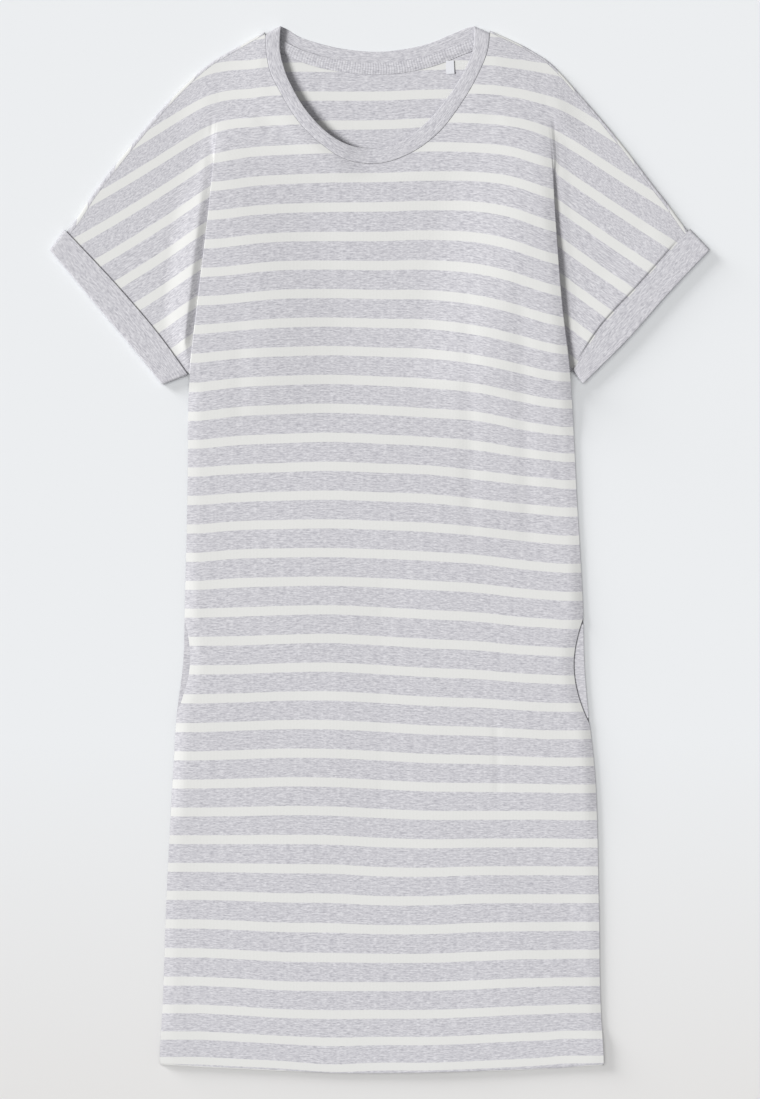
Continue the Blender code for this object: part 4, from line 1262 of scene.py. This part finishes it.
def cuff_points(side):
    """For each place of the profile a flattened loop: straight above and below, a half circle at each end."""
    length = cuff_length(side)
    bend = CUFF_RISE + WALL / 2
    angles = np.linspace(0, np.pi, CUFF_ROUND_PARTS + 1)[1:-1]
    straight = np.linspace(bend, length - bend, CUFF_PARTS + 1)
    ends = np.ones_like(angles)
    centre = np.r_[straight, ends * (length - bend), straight[::-1], ends * bend, bend]
    lean = np.r_[0 * straight, np.sin(angles), 0 * straight, -np.sin(angles), 0]
    lift = np.r_[0 * straight + 1, np.cos(angles), 0 * straight - 1, -np.cos(angles), 1]
    depth, inset = (values[:, None] for values in cuff_profile())
    radius = CUFF_RISE - inset
    along = centre + lean * radius
    plan = cuff_point(side, along, np.broadcast_to(depth / CUFF_DEPTH, along.shape))
    z = CUFF_MIDDLE + lift * radius
    round_loop = np.r_[0, np.cumsum(np.hypot(np.diff(centre + lean * CUFF_RISE), np.diff(lift * CUFF_RISE)))]
    round_profile = np.r_[0, np.cumsum(np.hypot(np.diff(depth[:, 0]), np.diff(inset[:, 0])))]
    return with_lengths(np.concatenate([plan, z[..., None]], -1), round_loop, round_profile[:, None])


cuffs = {
    name: cloth("cuff_%s_cloth" % name, cuff_points(side), plain_jersey, ring=True)
    for name, side in (("left", -1), ("right", 1))
}

# %% [markdown]
# ## Floor, light and camera
#
# The floor is a plain pale sheet, painted a little darker below the hem as shade where the light falls off.
# The shirt has one soft light from the left over an even white fill, which draws its folds. The floor has
# lights of its own, so that the shadow on it stays as soft as in the photograph and falls to the lower right.
# The camera looks straight down from 3.6 m with a long lens, so the shirt's edges are seen without
# perspective.

# %% Studio
FLOOR_SIZE = 12.0
FLOOR_NEAR = linear("#eceef0")
# Painted shade: the floor's colour turns darker towards the bottom, where the light falls off
FLOOR_PAINTED_SHADE = linear("#e4e3e2")
FILL_SHARE = 0.30
# Soft lights: name, elevation, azimuth, angular size, share of the light, what it lights
LIGHTS = (
    ("key for the shirt", 44, 178, 22, 0.70, "shirt"),
    ("overhead for the floor", 80, 150, 60, 0.44, "floor"),
    ("low light for the floor", 13, 145, 24, 0.26, "floor"),
)
CAMERA_HEIGHT = 3.6
FRAME_HEIGHT = 1.154
FILM_HEIGHT = 36

bpy.context.scene.view_settings.view_transform = "Standard"

floor_mesh = bpy.data.meshes.new("floor")
half = FLOOR_SIZE / 2
corners = [(-half, -half, 0), (half, -half, 0), (half, half, 0), (-half, half, 0)]
floor_mesh.from_pydata(corners, [], [(0, 1, 2, 3)])
floor = bpy.data.objects.new("floor", floor_mesh)
bpy.context.scene.collection.objects.link(floor)
backdrop, tree, shader = new_finish("matt paper backdrop", 1.0, 0.0)
shader.inputs["Specular IOR Level"].default_value = 0.0
place = add(tree, "TexCoord").outputs["Object"]
upwards = add(tree, "SeparateXYZ", {0: place}).outputs["Y"]
# Painted shade: from y −0.2 m down to −0.58 m the floor turns to its darker colour
below = add(tree, "MapRange", {"Value": upwards, "From Min": -0.2, "From Max": -0.58}).outputs[0]
colour = add(tree, "Mix", {"Factor": below, "A": FLOOR_NEAR, "B": FLOOR_PAINTED_SHADE}, data_type="RGBA")
tree.links.new(colour.outputs["Result"], shader.inputs["Base Color"])
floor_mesh.materials.append(backdrop)

world = bpy.data.worlds.new("white studio")
world.use_nodes = True
world.node_tree.nodes["Background"].inputs["Color"].default_value = (1, 1, 1, 1)
world.node_tree.nodes["Background"].inputs["Strength"].default_value = FILL_SHARE
bpy.context.scene.world = world

shirt_group = bpy.data.collections.new("lit as the shirt")
floor_group = bpy.data.collections.new("lit as the floor")
for piece in (front, back, neckband, tape, label, *pockets.values(), *cuffs.values()):
    shirt_group.objects.link(piece)
floor_group.objects.link(floor)


def soft_box(name, elevation, azimuth, size, share, lit):
    """A far light of this angular size. Level cloth gets its share: strength is π · share / sin(elevation)."""
    light = bpy.data.lights.new(name, "SUN")
    light.angle = np.radians(size)
    light.energy = share * np.pi / np.sin(np.radians(elevation))
    made = bpy.data.objects.new(name, light)
    made.rotation_euler = (0, np.radians(90 - elevation), np.radians(azimuth))
    made.light_linking.receiver_collection = lit
    bpy.context.scene.collection.objects.link(made)
    return made


for name, elevation, azimuth, size, share, lit in LIGHTS:
    soft_box(name, elevation, azimuth, size, share, shirt_group if lit == "shirt" else floor_group)

camera = bpy.data.cameras.new("camera above")
camera.sensor_fit = "VERTICAL"
camera.sensor_height = FILM_HEIGHT
camera.lens = FILM_HEIGHT * CAMERA_HEIGHT / FRAME_HEIGHT
camera_object = bpy.data.objects.new("camera above", camera)
camera_object.location = (0, 0, CAMERA_HEIGHT)
bpy.context.scene.collection.objects.link(camera_object)
bpy.context.scene.camera = camera_object

# %% [markdown]
# ## What each piece stands for
#
# Every piece rides on the part's one body and takes the place of its plain solid, which is hidden. The table
# also lists the cloth each was cut from, the size of its cut and what it rests on, but these are not used
# here.

# %% Pieces on the body
PIECES = (
    # piece, node, slot, flat size, flat area, what it rests on
    (front, "front", "striped_jersey", (1.0, 1.11), 0.53, ["back_cloth", "pocket_left_cloth"]),
    (back, "back", "striped_jersey", (1.0, 1.12), 0.55, ["floor"]),
    (neckband, "neckband", "melange_jersey", (0.62, 0.017), None, ["front_cloth", "back_cloth"]),
    (tape, "neck_tape", "melange_jersey", (0.23, 0.012), None, ["back_cloth"]),
    (pockets["left"], "pocket_left", "melange_jersey", (0.264, 0.21), 0.042, ["back_cloth"]),
    (pockets["right"], "pocket_right", "melange_jersey", (0.264, 0.21), 0.042, ["back_cloth"]),
    (cuffs["left"], "cuff_left", "melange_jersey", (0.41, 0.033), None, ["floor"]),
    (cuffs["right"], "cuff_right", "melange_jersey", (0.41, 0.033), None, ["floor"]),
)
for piece, node, slot_name, flat, area, under in PIECES:
    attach(piece, "root")
    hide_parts(node)
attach(label, "root")
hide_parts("label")

# %% The end
bpy.context.view_layer.update()
